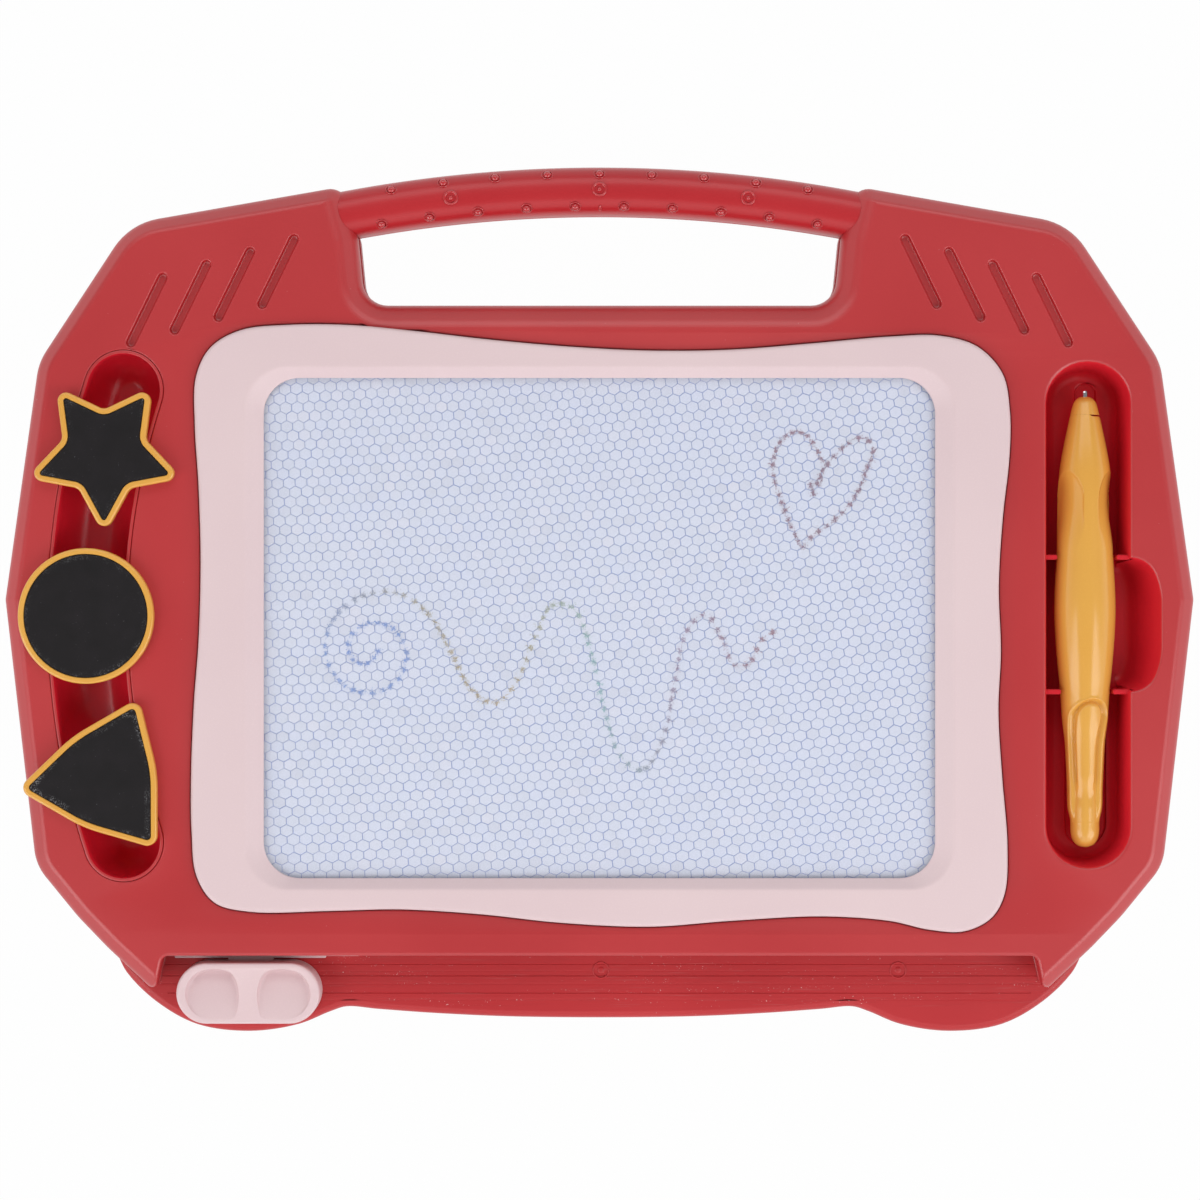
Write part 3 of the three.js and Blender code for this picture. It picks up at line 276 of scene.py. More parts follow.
# %% Steel
def make_steel(name, rough):
    """Plated steel with fine turning marks."""
    material, web, place = new_finish(name)
    marks = noise(web, place, 1 / (0.25 * MM), 2)
    colour = mixed(web, marks, linear(196, 199, 205), linear(224, 226, 230))
    surface(web, colour, marks * 0.12 + rough, bumped(web, marks, 0.15, 0.02 * MM), Metallic=1.0)
    return material


screw_steel = make_steel("screw_steel", 0.28)
tip_steel = make_steel("tip_steel", 0.12)
print("materials:", len(bpy.data.materials))

# %% [markdown]
# ## Outlines and rings
# A moulded box is flat faces joined by small rounded edges. It could be made by booleans and a Bevel
# modifier, but the bevel breaks where many holes meet. Here each edge is a stack of rings, so the roundings
# are exact: an outline is moved inwards side by side, its corners are rounded again at each step, and
# neighbouring rings are joined by quads.

# %% Outline helpers
CORNER_STEPS = 8
LEAST_RADIUS = 0.25 * MM


def points(shares):
    """Places on the board, from shares of half its length and half its height."""
    return [Vector((x * half_length, y * half_height)) for x, y in shares]


def middle_of(node):
    """The middle of a node's box."""
    low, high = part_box(node)
    return (low + high) / 2


def mirrored(outline):
    return [Vector((-p.x, p.y)) for p in reversed(outline)]


def moved(corners, distances):
    """The corners after each side has moved inwards by its own distance."""
    found = []
    for i, corner in enumerate(corners):
        before = (corner - corners[i - 1]).normalized()
        after = (corners[(i + 1) % len(corners)] - corner).normalized()
        turn = before.cross(after)
        found.append(corner + (after * distances[i - 1] - before * distances[i]) / turn)
    return found


def rounded(corners, radii, steps=CORNER_STEPS):
    """Each corner of a polygon as an arc of its own radius."""
    outline = []
    for i, corner in enumerate(corners):
        before = (corners[i - 1] - corner).normalized()
        after = (corners[(i + 1) % len(corners)] - corner).normalized()
        half = before.angle(after) / 2
        side = 1 if after.cross(before) > 0 else -1
        middle = (before + after).normalized() * (radii[i] / math.sin(half))
        start = before * (radii[i] / math.tan(half)) - middle
        for step in range(steps + 1):
            angle = side * (math.pi - 2 * half) * step / steps
            outline.append(corner + middle + Matrix.Rotation(angle, 2) @ start)
    return outline


def ring_of(corners, radii, distances, steps=CORNER_STEPS):
    """A rounded outline moved inwards. Outer corners get tighter and inner corners wider."""
    sizes = []
    for i, corner in enumerate(corners):
        turn = (corner - corners[i - 1]).cross(corners[(i + 1) % len(corners)] - corner)
        change = (distances[i - 1] + distances[i]) / 2
        sizes.append(max(radii[i] - math.copysign(change, turn), LEAST_RADIUS))
    return rounded(moved(corners, distances), sizes, steps)


def pushed(outline, distance):
    """A fine outline moved inwards, by one distance or one for each point."""
    distances = distance if hasattr(distance, "__len__") else [distance] * len(outline)
    found = []
    for i, point in enumerate(outline):
        before = (point - outline[i - 1]).normalized()
        after = (outline[(i + 1) % len(outline)] - point).normalized()
        inward = Vector((-before.y - after.y, before.x + after.x)).normalized()
        spread = inward.dot(Vector((-before.y, before.x)))
        found.append(point + inward * (distances[i] / max(spread, 0.5)))
    return found


# %% Simple outlines and profiles
def rectangle(left, right, front, back):
    return [Vector(p) for p in ((left, front), (right, front), (right, back), (left, back))]


def disc(x, y, radius, sides=32):
    turns = (2 * math.pi * i / sides for i in range(sides))
    return [Vector((x + radius * math.cos(t), y + radius * math.sin(t))) for t in turns]


def fillet(corner, start, end, steps=5):
    """A quarter round, as (inset, height) pairs, from start to end about a corner."""
    arc = []
    for step in range(steps + 1):
        turn = math.pi / 2 * step / steps
        near, far = 1 - math.sin(turn), 1 - math.cos(turn)
        arc.append((
            corner[0] + (start[0] - corner[0]) * near + (end[0] - corner[0]) * far,
            corner[1] + (start[1] - corner[1]) * near + (end[1] - corner[1]) * far,
        ))
    return arc


def smooth_path(corners, radii, steps=5):
    """An open path with its inner corners rounded."""
    closed = rounded([Vector(c) for c in corners], [LEAST_RADIUS / 100, *radii, LEAST_RADIUS / 100], steps)
    inner = closed[steps + 1:-steps - 1]
    return [Vector(corners[0]), *inner, Vector(corners[-1])]


# %% [markdown]
# ## Skins
# A skin collects rings, strips and flat fills, and becomes one mesh. Next to each rounding lies a second
# ring a fraction of a millimetre into the flat face. It keeps the shading of the flat face flat, so every
# highlight runs along the rounding alone. Only edges that turn by more than 38 degrees are marked sharp.

# %% Skins
HOLD = 0.2 * MM
LEAST_GAP = 0.002 * MM
SHARP_ANGLE = math.radians(38)


class Skin:
    """Points and faces made of rings, strips and fills."""

    def __init__(self):
        self.points = []
        self.faces = []
        self.slots = []
        self.worn = {}

    def ring(self, outline, height):
        heights = height if hasattr(height, "__len__") else [height] * len(outline)
        return self.loop([Vector((p.x, p.y, z)) for p, z in zip(outline, heights)])

    def loop(self, spots):
        start = len(self.points)
        self.points += spots
        return list(range(start, len(self.points)))

    def add(self, faces, slot):
        self.faces += faces
        self.slots += [slot] * len(faces)

    def strip(self, rings, slot=0):
        for low, high in zip(rings, rings[1:]):
            after = range(1, len(low) + 1)
            pairs = [(i, j % len(low)) for i, j in enumerate(after)]
            self.add([(low[i], low[j], high[j], high[i]) for i, j in pairs], slot)
        return rings

    def fill(self, border, holes=(), slot=0):
        loops = [border, *holes]
        flat = [i for loop in loops for i in loop]
        corners = [[self.points[i] for i in loop] for loop in loops]
        self.add([tuple(flat[k] for k in face) for face in tessellate_polygon(corners)], slot)

    def cap(self, rings, slot=0):
        """Closes both ends of a stack of rings."""
        self.fill(rings[0], slot=slot)
        self.fill(rings[-1], slot=slot)

    def sweep(self, outline_at, profile, slot=0):
        """Rings for each (inset, height) of a profile, joined by strips."""
        return self.strip([self.ring(outline_at(inset), height) for inset, height in profile], slot)


def link(name, mesh):
    piece = bpy.data.objects.new(name, mesh)
    bpy.context.scene.collection.objects.link(piece)
    return piece


def settle(piece, materials, body, replaced, sharp=SHARP_ANGLE):
    """Merges doubles, turns faces outwards, shades smooth and puts the piece on its body."""
    mesh = piece.data
    solid = bmesh.new()
    solid.from_mesh(mesh)
    bmesh.ops.remove_doubles(solid, verts=solid.verts, dist=LEAST_GAP)
    bmesh.ops.recalc_face_normals(solid, faces=solid.faces)
    loose = sum(1 for edge in solid.edges if len(edge.link_faces) != 2)
    solid.to_mesh(mesh)
    solid.free()
    mesh.shade_smooth()
    mesh.set_sharp_from_angle(angle=sharp)
    for material in materials:
        mesh.materials.append(material)
    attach(piece, body)
    if replaced:
        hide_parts(*replaced)
    print(piece.name, len(mesh.polygons), "faces,", loose, "open edges")


def made(name, skin, materials, body, replaced, slot):
    """Turns a skin into a piece that rides on a body and stands for CAD nodes."""
    mesh = bpy.data.meshes.new(name)
    mesh.from_pydata(skin.points, [], skin.faces)
    mesh.polygons.foreach_set("material_index", skin.slots)
    if skin.worn:
        layer = mesh.attributes.new("worn", "FLOAT", "POINT")
        layer.data.foreach_set("value", [skin.worn.get(i, 0.0) for i in range(len(skin.points))])
    settle(link(name, mesh), materials, body, replaced)


# %% [markdown]
# ## The front shell
# One injection moulding carries everything: a flat face, a bevelled edge, a slit along the front for the
# eraser and sunken trays. The outline is a polygon of long sides. They get three profiles: a broad bevel on
# the flanks, a softer one in the notch of the grip and a small rounding along the front. All three are
# worked out at the same heights, so that they meet in clean rings.

# %% Shell outline and levels
WINDOW_LENGTH = 219.6 * MM
WINDOW_HEIGHT = 163.6 * MM
WINDOW_DROP = 8.9 * MM
SIDE_BAND = 85.4 * MM
SHOULDER_ROUND = 6 * MM
half_length = WINDOW_LENGTH / 2 + SIDE_BAND
half_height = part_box("handle_front_half")[1].y
shell_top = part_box("front_shell")[1].z
shell_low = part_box("eraser_knob")[0].z
SEAT_GAP = 0.3 * MM
shelf_top = shell_low - SEAT_GAP
BEVEL_FOOT = 19.5 * MM
BEVEL_INSET = 4.6 * MM
BEVEL_FOOT_ROUND = 6.5 * MM
CREASE_ROUND = 2.6 * MM
NOTCH_FOOT = 19 * MM
NOTCH_INSET = 6 * MM
NOTCH_CREASE_ROUND = 7 * MM
FRONT_ROUND = 1.2 * MM
WALL = 2.4 * MM
SLIT_HEIGHT = 4.8 * MM
PART_LINE_ROUND = 0.35 * MM

fang_shares = [(0.7315, -0.812), (0.7465, -0.9014)]
side_shares = [
    (0.828, -0.797), (0.878, -0.726), (0.9485, -0.608), (1, 0.003), (0.944, 0.549), (0.791, 0.868),
]
notch_shares = [(0.43, 0.954), (0.406, 0.833), (0.395, 0.68)]
FANG_RADII = [2.6 * MM, 2 * MM]
SIDE_RADII = [size * MM for size in (60, 60, 17, 6, 20, 22)]
NOTCH_RADII = [SHOULDER_ROUND, 8 * MM, 8.4 * MM]

right_corners = points(fang_shares + side_shares + notch_shares)
right_radii = FANG_RADII + SIDE_RADII + NOTCH_RADII
shell_corners = right_corners + mirrored(right_corners)
shell_radii = right_radii + right_radii[::-1]
front_y = right_corners[0].y
front_sides = {0, len(shell_corners) - 2, len(shell_corners) - 1}
notch_start = len(fang_shares + side_shares)
notch_sides = set(range(notch_start, len(shell_corners) - notch_start - 1))
print(f"shell: {2 * half_length / MM:.1f} by {2 * half_height / MM:.1f} mm, front edge at {front_y / MM:.1f}")

# %% Shell profiles at shared heights
def inset_at(path, height):
    for low, high in zip(path, path[1:]):
        if low.y <= height <= high.y and high.y > low.y:
            return low.x + (high.x - low.x) * (height - low.y) / (high.y - low.y)
    return path[-1].x


def profile_of(corners, radii):
    """A rounded (inset, height) path without its last, flat stretch."""
    return smooth_path(corners, radii, 6)[:-1]


inland = 2 * BEVEL_INSET
flank_path = profile_of(
    [(0, shell_low), (0, BEVEL_FOOT), (BEVEL_INSET, shell_top), (inland, shell_top)],
    [BEVEL_FOOT_ROUND, CREASE_ROUND],
)
notch_path = profile_of(
    [(0, shell_low), (0, NOTCH_FOOT), (NOTCH_INSET, shell_top), (inland, shell_top)],
    [BEVEL_FOOT_ROUND, NOTCH_CREASE_ROUND],
)
front_path = profile_of([(0, shell_low), (0, shell_top), (inland, shell_top)], [FRONT_ROUND])
shell_paths = (flank_path, front_path, notch_path)
heights = sorted({round(p.y, 7) for path in shell_paths for p in path})
print("levels round the shell:", len(heights))


def shell_ring(flank, front, notch=None):
    distances = []
    for i in range(len(shell_corners)):
        if i in front_sides:
            distances.append(front)
        else:
            distances.append(notch if i in notch_sides and notch is not None else flank)
    return ring_of(shell_corners, shell_radii, distances)


def shell_ring_at(height):
    """The shell's outline at one height."""
    return shell_ring(*(inset_at(path, height) for path in shell_paths))


def over_shelf(outline, usual, raised):
    """The height of the shell's lower edge: it is raised along the eraser's slit."""
    reach = right_corners[0].x - FANG_RADII[0] / 2
    return [
        raised if abs(p.x) < reach and front_y - HOLD < p.y < front_y + 2 * WALL else usual for p in outline
    ]


# %% [markdown]
# The pen tray and its finger pocket are one rim with a draft on the walls, as a mould needs, and a deeper
# groove runs along the bottom. The slanted grooves beside the grip are decoration.

# %% Pen tray
pen_low, pen_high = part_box("pen_barrel")
nose_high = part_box("pen_nose")[1]
pen_x = (pen_low.x + pen_high.x) / 2
pen_radius = (pen_high.x - pen_low.x) / 2
pen_back = nose_high.y
PEN_LENGTH = 148 * MM
TRAY_FLOOR = 6 * MM
TRAY_WIDTH = 28.2 * MM
TRAY_END_ROOM = 11.3 * MM
TRAY_TAIL_ROOM = 6.5 * MM
TRAY_WALL = 2 * MM
TRAY_RIM = 0.9 * MM
TRAY_DRAFT = 2.2 * MM
TRAY_FOOT_ROUND = 3.2 * MM
POCKET_REACH = 10 * MM
POCKET_CUT = Vector((3.6, 11)) * MM
POCKET_SLANT = 0.9 * MM
PEN_GROOVE_DEPTH = 1.1 * MM
PEN_GROOVE_SHIFT = 1.7 * MM
PEN_GROOVE_NOSE = 3.3 * MM
PEN_GROOVE_TAIL = 6.6 * MM
PEN_GROOVE_WAIST_SHARE = 0.7
rib_shares = (0.356, 0.654)
rib_places = [pen_back - share * PEN_LENGTH for share in rib_shares]
tray_front = pen_back - PEN_LENGTH - TRAY_TAIL_ROOM
tray_back = pen_back + TRAY_END_ROOM
print(f"pen tray: {(tray_back - tray_front) / MM:.1f} by {TRAY_WIDTH / MM:.1f} mm")


def tray_corners():
    left, right = pen_x - TRAY_WIDTH / 2, pen_x + TRAY_WIDTH / 2
    pocket = right + POCKET_REACH
    high, low = rib_places
    pairs = [
        (left, tray_front), (right, tray_front), (right, low), (pocket - POCKET_CUT.x, low + POCKET_SLANT),
        (pocket, low + POCKET_CUT.y), (pocket, high - POCKET_CUT.y),
        (pocket - POCKET_CUT.x, high - POCKET_SLANT), (right, high), (right, tray_back), (left, tray_back),
    ]
    return [Vector(pair) for pair in pairs]


end_radius = TRAY_WIDTH / 2 - LEAST_RADIUS
POCKET_RADII = [9 * MM, 24 * MM, 24 * MM, 9 * MM]
tray_radii = [end_radius] * 2 + [LEAST_RADIUS, *POCKET_RADII, LEAST_RADIUS] + [end_radius] * 2
pocket_lean_shares = {3: 2.7, 4: 3.3, 5: 2.7}


def tray_outline(inset):
    """The tray's rim moved inwards. The pocket's far walls lean more than the others."""
    leaning = min(max(inset - TRAY_RIM, 0), TRAY_DRAFT - TRAY_RIM)
    distances = [inset + leaning * pocket_lean_shares.get(i, 0) for i in range(len(tray_radii))]
    return ring_of(tray_corners(), tray_radii, distances)


def pen_groove(inset):
    """A shallow groove that the pen sinks into, narrow at the nose and wide at the tail."""
    room = TRAY_DRAFT + TRAY_FOOT_ROUND + LEAST_RADIUS + 3 * HOLD
    back = tray_back - room
    front = tray_front + room
    waist = pen_back - PEN_LENGTH * PEN_GROOVE_WAIST_SHARE
    right = [(PEN_GROOVE_TAIL, front), (PEN_GROOVE_TAIL, waist), (PEN_GROOVE_NOSE, back)]
    middle = pen_x + PEN_GROOVE_SHIFT
    corners = [Vector((middle + x, y)) for x, y in right] + [Vector((middle - x, y)) for x, y in right[::-1]]
    tail, nose = PEN_GROOVE_TAIL - LEAST_RADIUS, PEN_GROOVE_NOSE - LEAST_RADIUS
    return ring_of(corners, [tail, tail, nose, nose, tail, tail], [inset] * 6)


# %% Slanted grooves
GROOVES = 4
GROOVE_WIDTH = 3.1 * MM
GROOVE_DEPTH = 2.1 * MM
GROOVE_ROUND = 0.5 * MM
GROOVE_FOOT = 0.85 * MM
GROOVE_STEP = Vector((14.3, -4.2)) * MM
GROOVE_RUN = Vector((10.3, -21.1)) * MM
first_groove_share = (0.5115, 0.827)


def groove_outline(side, index, inset):
    """A slanted slot with round ends."""
    start = points([first_groove_share])[0] + GROOVE_STEP * index
    across = GROOVE_RUN.orthogonal().normalized() * (GROOVE_WIDTH / 2 - inset)
    outline = []
    for centre, first in ((start, 0), (start + GROOVE_RUN, math.pi)):
        for step in range(CORNER_STEPS + 1):
            angle = first + math.pi * step / CORNER_STEPS
            outline.append(centre + Matrix.Rotation(angle, 2) @ across)
    return outline if side > 0 else mirrored(outline)


def sunk(rim, top, depth, foot):
    """The profile of a sunken shape: a rounded rim, a wall and a rounded foot."""
    low = top - depth
    profile = [(-rim - HOLD, top)] + fillet((0, top), (-rim, top), (0, top - rim))
    profile += fillet((0, low), (0, low + foot), (foot, low))
    return profile + [(foot + HOLD, low)]


def block(low, high, foot, top, steps):
    """The profile of a low block: a broken edge at its foot and a rounded one at its top."""
    profile = [(foot + HOLD, low), (foot, low), (0, low + foot)]
    profile += fillet((0, high), (0, high - top), (top, high), steps)
    return profile + [(top + HOLD, high)]


# %% Window
window_y = -WINDOW_DROP
WELL_SIDE = 14.8 * MM
WELL_END = 5.8 * MM
WELL_RADIUS = 1 * MM


def window_corners(side, end):
    half = Vector((WINDOW_LENGTH / 2 + side, WINDOW_HEIGHT / 2 + end))
    return rectangle(-half.x, half.x, window_y - half.y, window_y + half.y)


well_outline = lambda inset: ring_of(window_corners(WELL_SIDE, WELL_END), [WELL_RADIUS] * 4, [inset] * 4)

# %% [markdown]
# The stamps stand in a channel whose middle line is an arc, so its outline is two arcs and two round ends.
# The shell has a hole of that shape, and the glossy tray sits in it with its lip a hair above the face.

# %% The bowed channel
CHANNEL_HALF_WIDTH = 13.1 * MM
CHANNEL_BOW = 11.75 * MM
CHANNEL_STEPS = 24
stamp_names = ("star_stamp", "round_stamp", "triangle_stamp")
tray_low, tray_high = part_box("stamp_tray")
CHANNEL_EDGE_DISTANCE = 28 * MM
CHANNEL_LENGTH = 147.6 * MM
channel_x = CHANNEL_EDGE_DISTANCE - half_length
channel_y = (tray_low.y + tray_high.y) / 2
bow_radius = (CHANNEL_LENGTH ** 2 / 4 + CHANNEL_BOW ** 2) / (2 * CHANNEL_BOW)
bow_centre = Vector((channel_x + bow_radius, channel_y))
print(f"channel: bent to a radius of {bow_radius / MM:.0f} mm")


def channel_outline(half_width):
    reach = math.asin(CHANNEL_LENGTH / 2 / bow_radius)
    outline = []
    for side in (1, -1):
        for step in range(CHANNEL_STEPS + 1):
            angle = side * reach * (2 * step / CHANNEL_STEPS - 1)
            spoke = Matrix.Rotation(angle, 2) @ Vector((-bow_radius - side * half_width, 0))
            outline.append(bow_centre + spoke)
        end = bow_centre + Matrix.Rotation(side * reach, 2) @ Vector((-bow_radius, 0))
        spoke = outline[-1] - end
        for step in range(1, CHANNEL_STEPS):
            outline.append(end + Matrix.Rotation(math.pi * step / CHANNEL_STEPS, 2) @ spoke)
    return outline


# %% Ribs that cradle the pen
RIB_THICKNESS = 1.6 * MM
RIB_DROP = 2.5 * MM
RIB_STEPS = 24
PEN_CLEARANCE = 0.4 * MM
pen_rib_radii = {rib_shares[0]: 9.4 * MM, rib_shares[1]: 8.2 * MM}


def add_rib(skin, share):
    """A thin wall across the tray with a round notch under the pen."""
    notch = pen_rib_radii[share] + PEN_CLEARANCE
    middle = TRAY_FLOOR + PEN_CLEARANCE + pen_radius
    top = shell_top - RIB_DROP
    half = TRAY_WIDTH / 2 - TRAY_RIM / 3
    low = TRAY_FLOOR - TRAY_WALL / 2
    outline = [Vector((-half, low)), Vector((half, low)), Vector((half, top)), Vector((notch, top))]
    turns = [math.pi * i / RIB_STEPS for i in range(RIB_STEPS + 1)]
    outline += [Vector((notch * math.cos(turn), middle - notch * math.sin(turn))) for turn in turns]
    outline += [Vector((-notch, top)), Vector((-half, top))]
    y = pen_back - share * PEN_LENGTH
    round_edge = RIB_THICKNESS / 5
    rings = []
    for inset, offset in ((round_edge, -0.5), (0, -0.3), (0, 0.3), (round_edge, 0.5)):
        shape = pushed(outline, inset)
        rings.append(skin.loop([Vector((pen_x + p.x, y - offset * RIB_THICKNESS, p.y)) for p in shape]))
    # The rib takes slot 1: the shell's red painted lighter, as painted light for the shade inside the tray.
    skin.strip(rings, slot=1)
    skin.cap(rings, slot=1)


# %% [markdown]
# ## The bezel's outline
# The pale frame has a wavy edge. It is drawn as shares of the frame's size and smoothed through its points.
# The shell needs it first, because a fine recess in the shell follows the same edge and leaves a dark line
# between the pink and the red.

# %% Bezel outline
BEZEL_SIDE = 24.1 * MM
BEZEL_END = 17.3 * MM
BEZEL_ROUND = 1.3 * MM
BEZEL_LIP = 1.3 * MM
SLOPE_SIDE = 5.8 * MM
SLOPE_END = 3.4 * MM
SLOPE_RADIUS = 14 * MM
WINDOW_RADIUS = 11.8 * MM
WINDOW_STEPS = 14
SHEET_SIDE = 14.2 * MM
SHEET_END = 5.2 * MM
bezel_shares = [
    (0.123, -0.983), (0.318, -0.964), (0.541, -0.949), (0.707, -0.964), (0.804, -0.993), (0.889, -0.998),
    (0.955, -0.954), (0.987, -0.875), (0.994, -0.717), (0.981, -0.487), (0.972, -0.273), (0.978, -0.076),
    (0.973, 0.138), (0.983, 0.368), (0.999, 0.565), (1, 0.713), (0.982, 0.838), (0.921, 0.927),
    (0.829, 0.963), (0.707, 0.96), (0.512, 0.937), (0.318, 0.917), (0.123, 0.914), (-0.072, 0.927),
    (-0.266, 0.95), (-0.461, 0.98), (-0.607, 0.998), (-0.753, 0.999), (-0.875, 0.981), (-0.948, 0.924),
    (-0.983, 0.829), (-0.986, 0.664), (-0.977, 0.467), (-0.972, 0.22), (-0.977, -0.043), (-0.988, -0.24),
    (-0.995, -0.47), (-0.994, -0.668), (-0.982, -0.816), (-0.938, -0.904), (-0.851, -0.934), (-0.656, -0.931),
    (-0.486, -0.926), (-0.291, -0.942), (-0.096, -0.97),
]


def flowing(corners, steps, closed=True):
    """A smooth curve through the points, with centripetal spacing."""
    count = len(corners)
    found = []
    for i in range(count if closed else count - 1):
        if closed:
            a, b, c, d = (corners[(i + k) % count] for k in (-1, 0, 1, 2))
        else:
            a, b, c, d = (corners[min(max(i + k, 0), count - 1)] for k in (-1, 0, 1, 2))
        gaps = [max((q - p).length, LEAST_RADIUS / 10) ** 0.5 for p, q in ((a, b), (b, c), (c, d))]
        into = (b - a) / gaps[0] - (c - a) / (gaps[0] + gaps[1]) + (c - b) / gaps[1]
        out = (c - b) / gaps[1] - (d - b) / (gaps[1] + gaps[2]) + (d - c) / gaps[2]
        for step in range(steps):
            t = step / steps
            found.append(
                b * (2 * t ** 3 - 3 * t ** 2 + 1) + c * (3 * t ** 2 - 2 * t ** 3)
                + into * gaps[1] * (t ** 3 - 2 * t ** 2 + t) + out * gaps[1] * (t ** 3 - t ** 2)
            )
    return found if closed else found + [corners[-1]]


bezel_half = Vector((WINDOW_LENGTH / 2 + BEZEL_SIDE, WINDOW_HEIGHT / 2 + BEZEL_END))
bezel_edge = flowing([Vector((x * bezel_half.x, window_y + y * bezel_half.y)) for x, y in bezel_shares], 8)
print("bezel edge:", len(bezel_edge), "points")

# %% The shell's skin
BEZEL_GAP = 0.42 * MM
BEZEL_GAP_DEPTH = 1.2 * MM


def make_shell():
    skin = Skin()
    outer = []
    for height in heights:
        ring = shell_ring_at(height)
        levels = height
        if height == heights[0]:
            levels = over_shelf(ring, height + PART_LINE_ROUND, shelf_top + SLIT_HEIGHT)
        outer.append(skin.ring(ring, levels))
    last = [path[-1].x + HOLD for path in shell_paths]
    face = skin.ring(shell_ring(*last), shell_top)
    skin.strip([*outer, face])

    edge = shell_ring(PART_LINE_ROUND, PART_LINE_ROUND)
    under = shell_ring(WALL, WALL)
    plate_low = shell_top - WALL
    slope = BEVEL_INSET / (shell_top - BEVEL_FOOT)
    ceiling = shell_ring(WALL + slope * (plate_low - BEVEL_FOOT), WALL)
    raised = shelf_top + SLIT_HEIGHT
    inner = skin.strip([
        outer[0],
        skin.ring(edge, over_shelf(edge, shell_low, raised)),
        skin.ring(under, over_shelf(under, shell_low, raised)),
        skin.ring(under, BEVEL_FOOT),
        skin.ring(ceiling, plate_low),
    ])

    tray = [(-TRAY_RIM / 2 - HOLD, shell_top)]
    tray += fillet((0, shell_top), (-TRAY_RIM / 2, shell_top), (TRAY_RIM / 2, shell_top - TRAY_RIM))
    tray += fillet(
        (TRAY_DRAFT, TRAY_FLOOR), (TRAY_DRAFT - TRAY_RIM / 4, TRAY_FLOOR + TRAY_FOOT_ROUND),
        (TRAY_DRAFT + TRAY_FOOT_ROUND, TRAY_FLOOR),
    )
    tray += [(TRAY_DRAFT + TRAY_FOOT_ROUND + HOLD, TRAY_FLOOR)]
    rim_rings = skin.sweep(tray_outline, tray[:5])
    # The tray's walls, groove and floor take slot 1: the shell's red painted lighter, as painted light for
    # the shade inside the tray.
    wall_rings = [skin.ring(tray_outline(inset), height) for inset, height in tray[5:]]
    skin.strip([rim_rings[-1], *wall_rings], slot=1)
    groove = [(-LEAST_RADIUS - HOLD, TRAY_FLOOR), (-LEAST_RADIUS, TRAY_FLOOR), (0, TRAY_FLOOR - LEAST_RADIUS)]
    groove_low = TRAY_FLOOR - PEN_GROOVE_DEPTH
    groove += [(LEAST_RADIUS, groove_low), (LEAST_RADIUS + HOLD, groove_low)]
    pen_seat = skin.sweep(pen_groove, groove, slot=1)
    skin.fill(pen_seat[-1], slot=1)
    skin.fill(wall_rings[-1], [pen_seat[0]], slot=1)

    tray_outside = skin.sweep(tray_outline, [(-TRAY_WALL, plate_low), (-TRAY_WALL, TRAY_FLOOR - TRAY_WALL)])
    skin.fill(tray_outside[-1])
    gap_floor = shell_top - BEZEL_GAP_DEPTH
    recess = skin.sweep(lambda inset: pushed(bezel_edge, inset), [
        (-BEZEL_GAP - PART_LINE_ROUND, shell_top), (-BEZEL_GAP, shell_top - PART_LINE_ROUND / 2),
        (-BEZEL_GAP, gap_floor),
    ])
    well = skin.sweep(well_outline, [(0, gap_floor), (0, plate_low)])
    skin.fill(recess[-1], [well[0]])
    hole = skin.sweep(lambda inset: channel_outline(CHANNEL_HALF_WIDTH - inset), [
        (-PART_LINE_ROUND - HOLD, shell_top), (-PART_LINE_ROUND, shell_top),
        (-PART_LINE_ROUND / 3, shell_top - PART_LINE_ROUND / 3), (0, shell_top - PART_LINE_ROUND),
        (0, plate_low),
    ])
    holes = [rim_rings[0], recess[0], hole[0]]
    for side in (1, -1):
        for index in range(GROOVES):
            slot = skin.sweep(
                lambda inset: groove_outline(side, index, inset),
                sunk(GROOVE_ROUND, shell_top, GROOVE_DEPTH, GROOVE_FOOT),
            )
            skin.fill(slot[-1])
            holes.append(slot[0])
    skin.fill(face, holes)
    skin.fill(inner[-1], [tray_outside[0], well[-1], hole[-1]])
    for share in rib_shares:
        add_rib(skin, share)
    made("front_shell_skin", skin, [shell_red, pen_tray_lit_red], "housing", ["front_shell"], "shell_red")


make_shell()

# %% [markdown]
# ## The stamp tray
# The tray is a deep glossy trough. Its section is a lip, a straight wall and a round bottom, all offsets of
# the channel's outline, so the same outline function sweeps it.

# %% Stamp tray
LIP = 1.1 * MM
TRAY_SKIN = 1.6 * MM
FLANGE = 2.6 * MM
FLANGE_THICKNESS = 1.4 * MM
FLOOR_HALF = 3 * MM
TRAY_SEAM = 0.12 * MM
LIP_PROUD = 0.2 * MM
BOWL_STEPS = 10


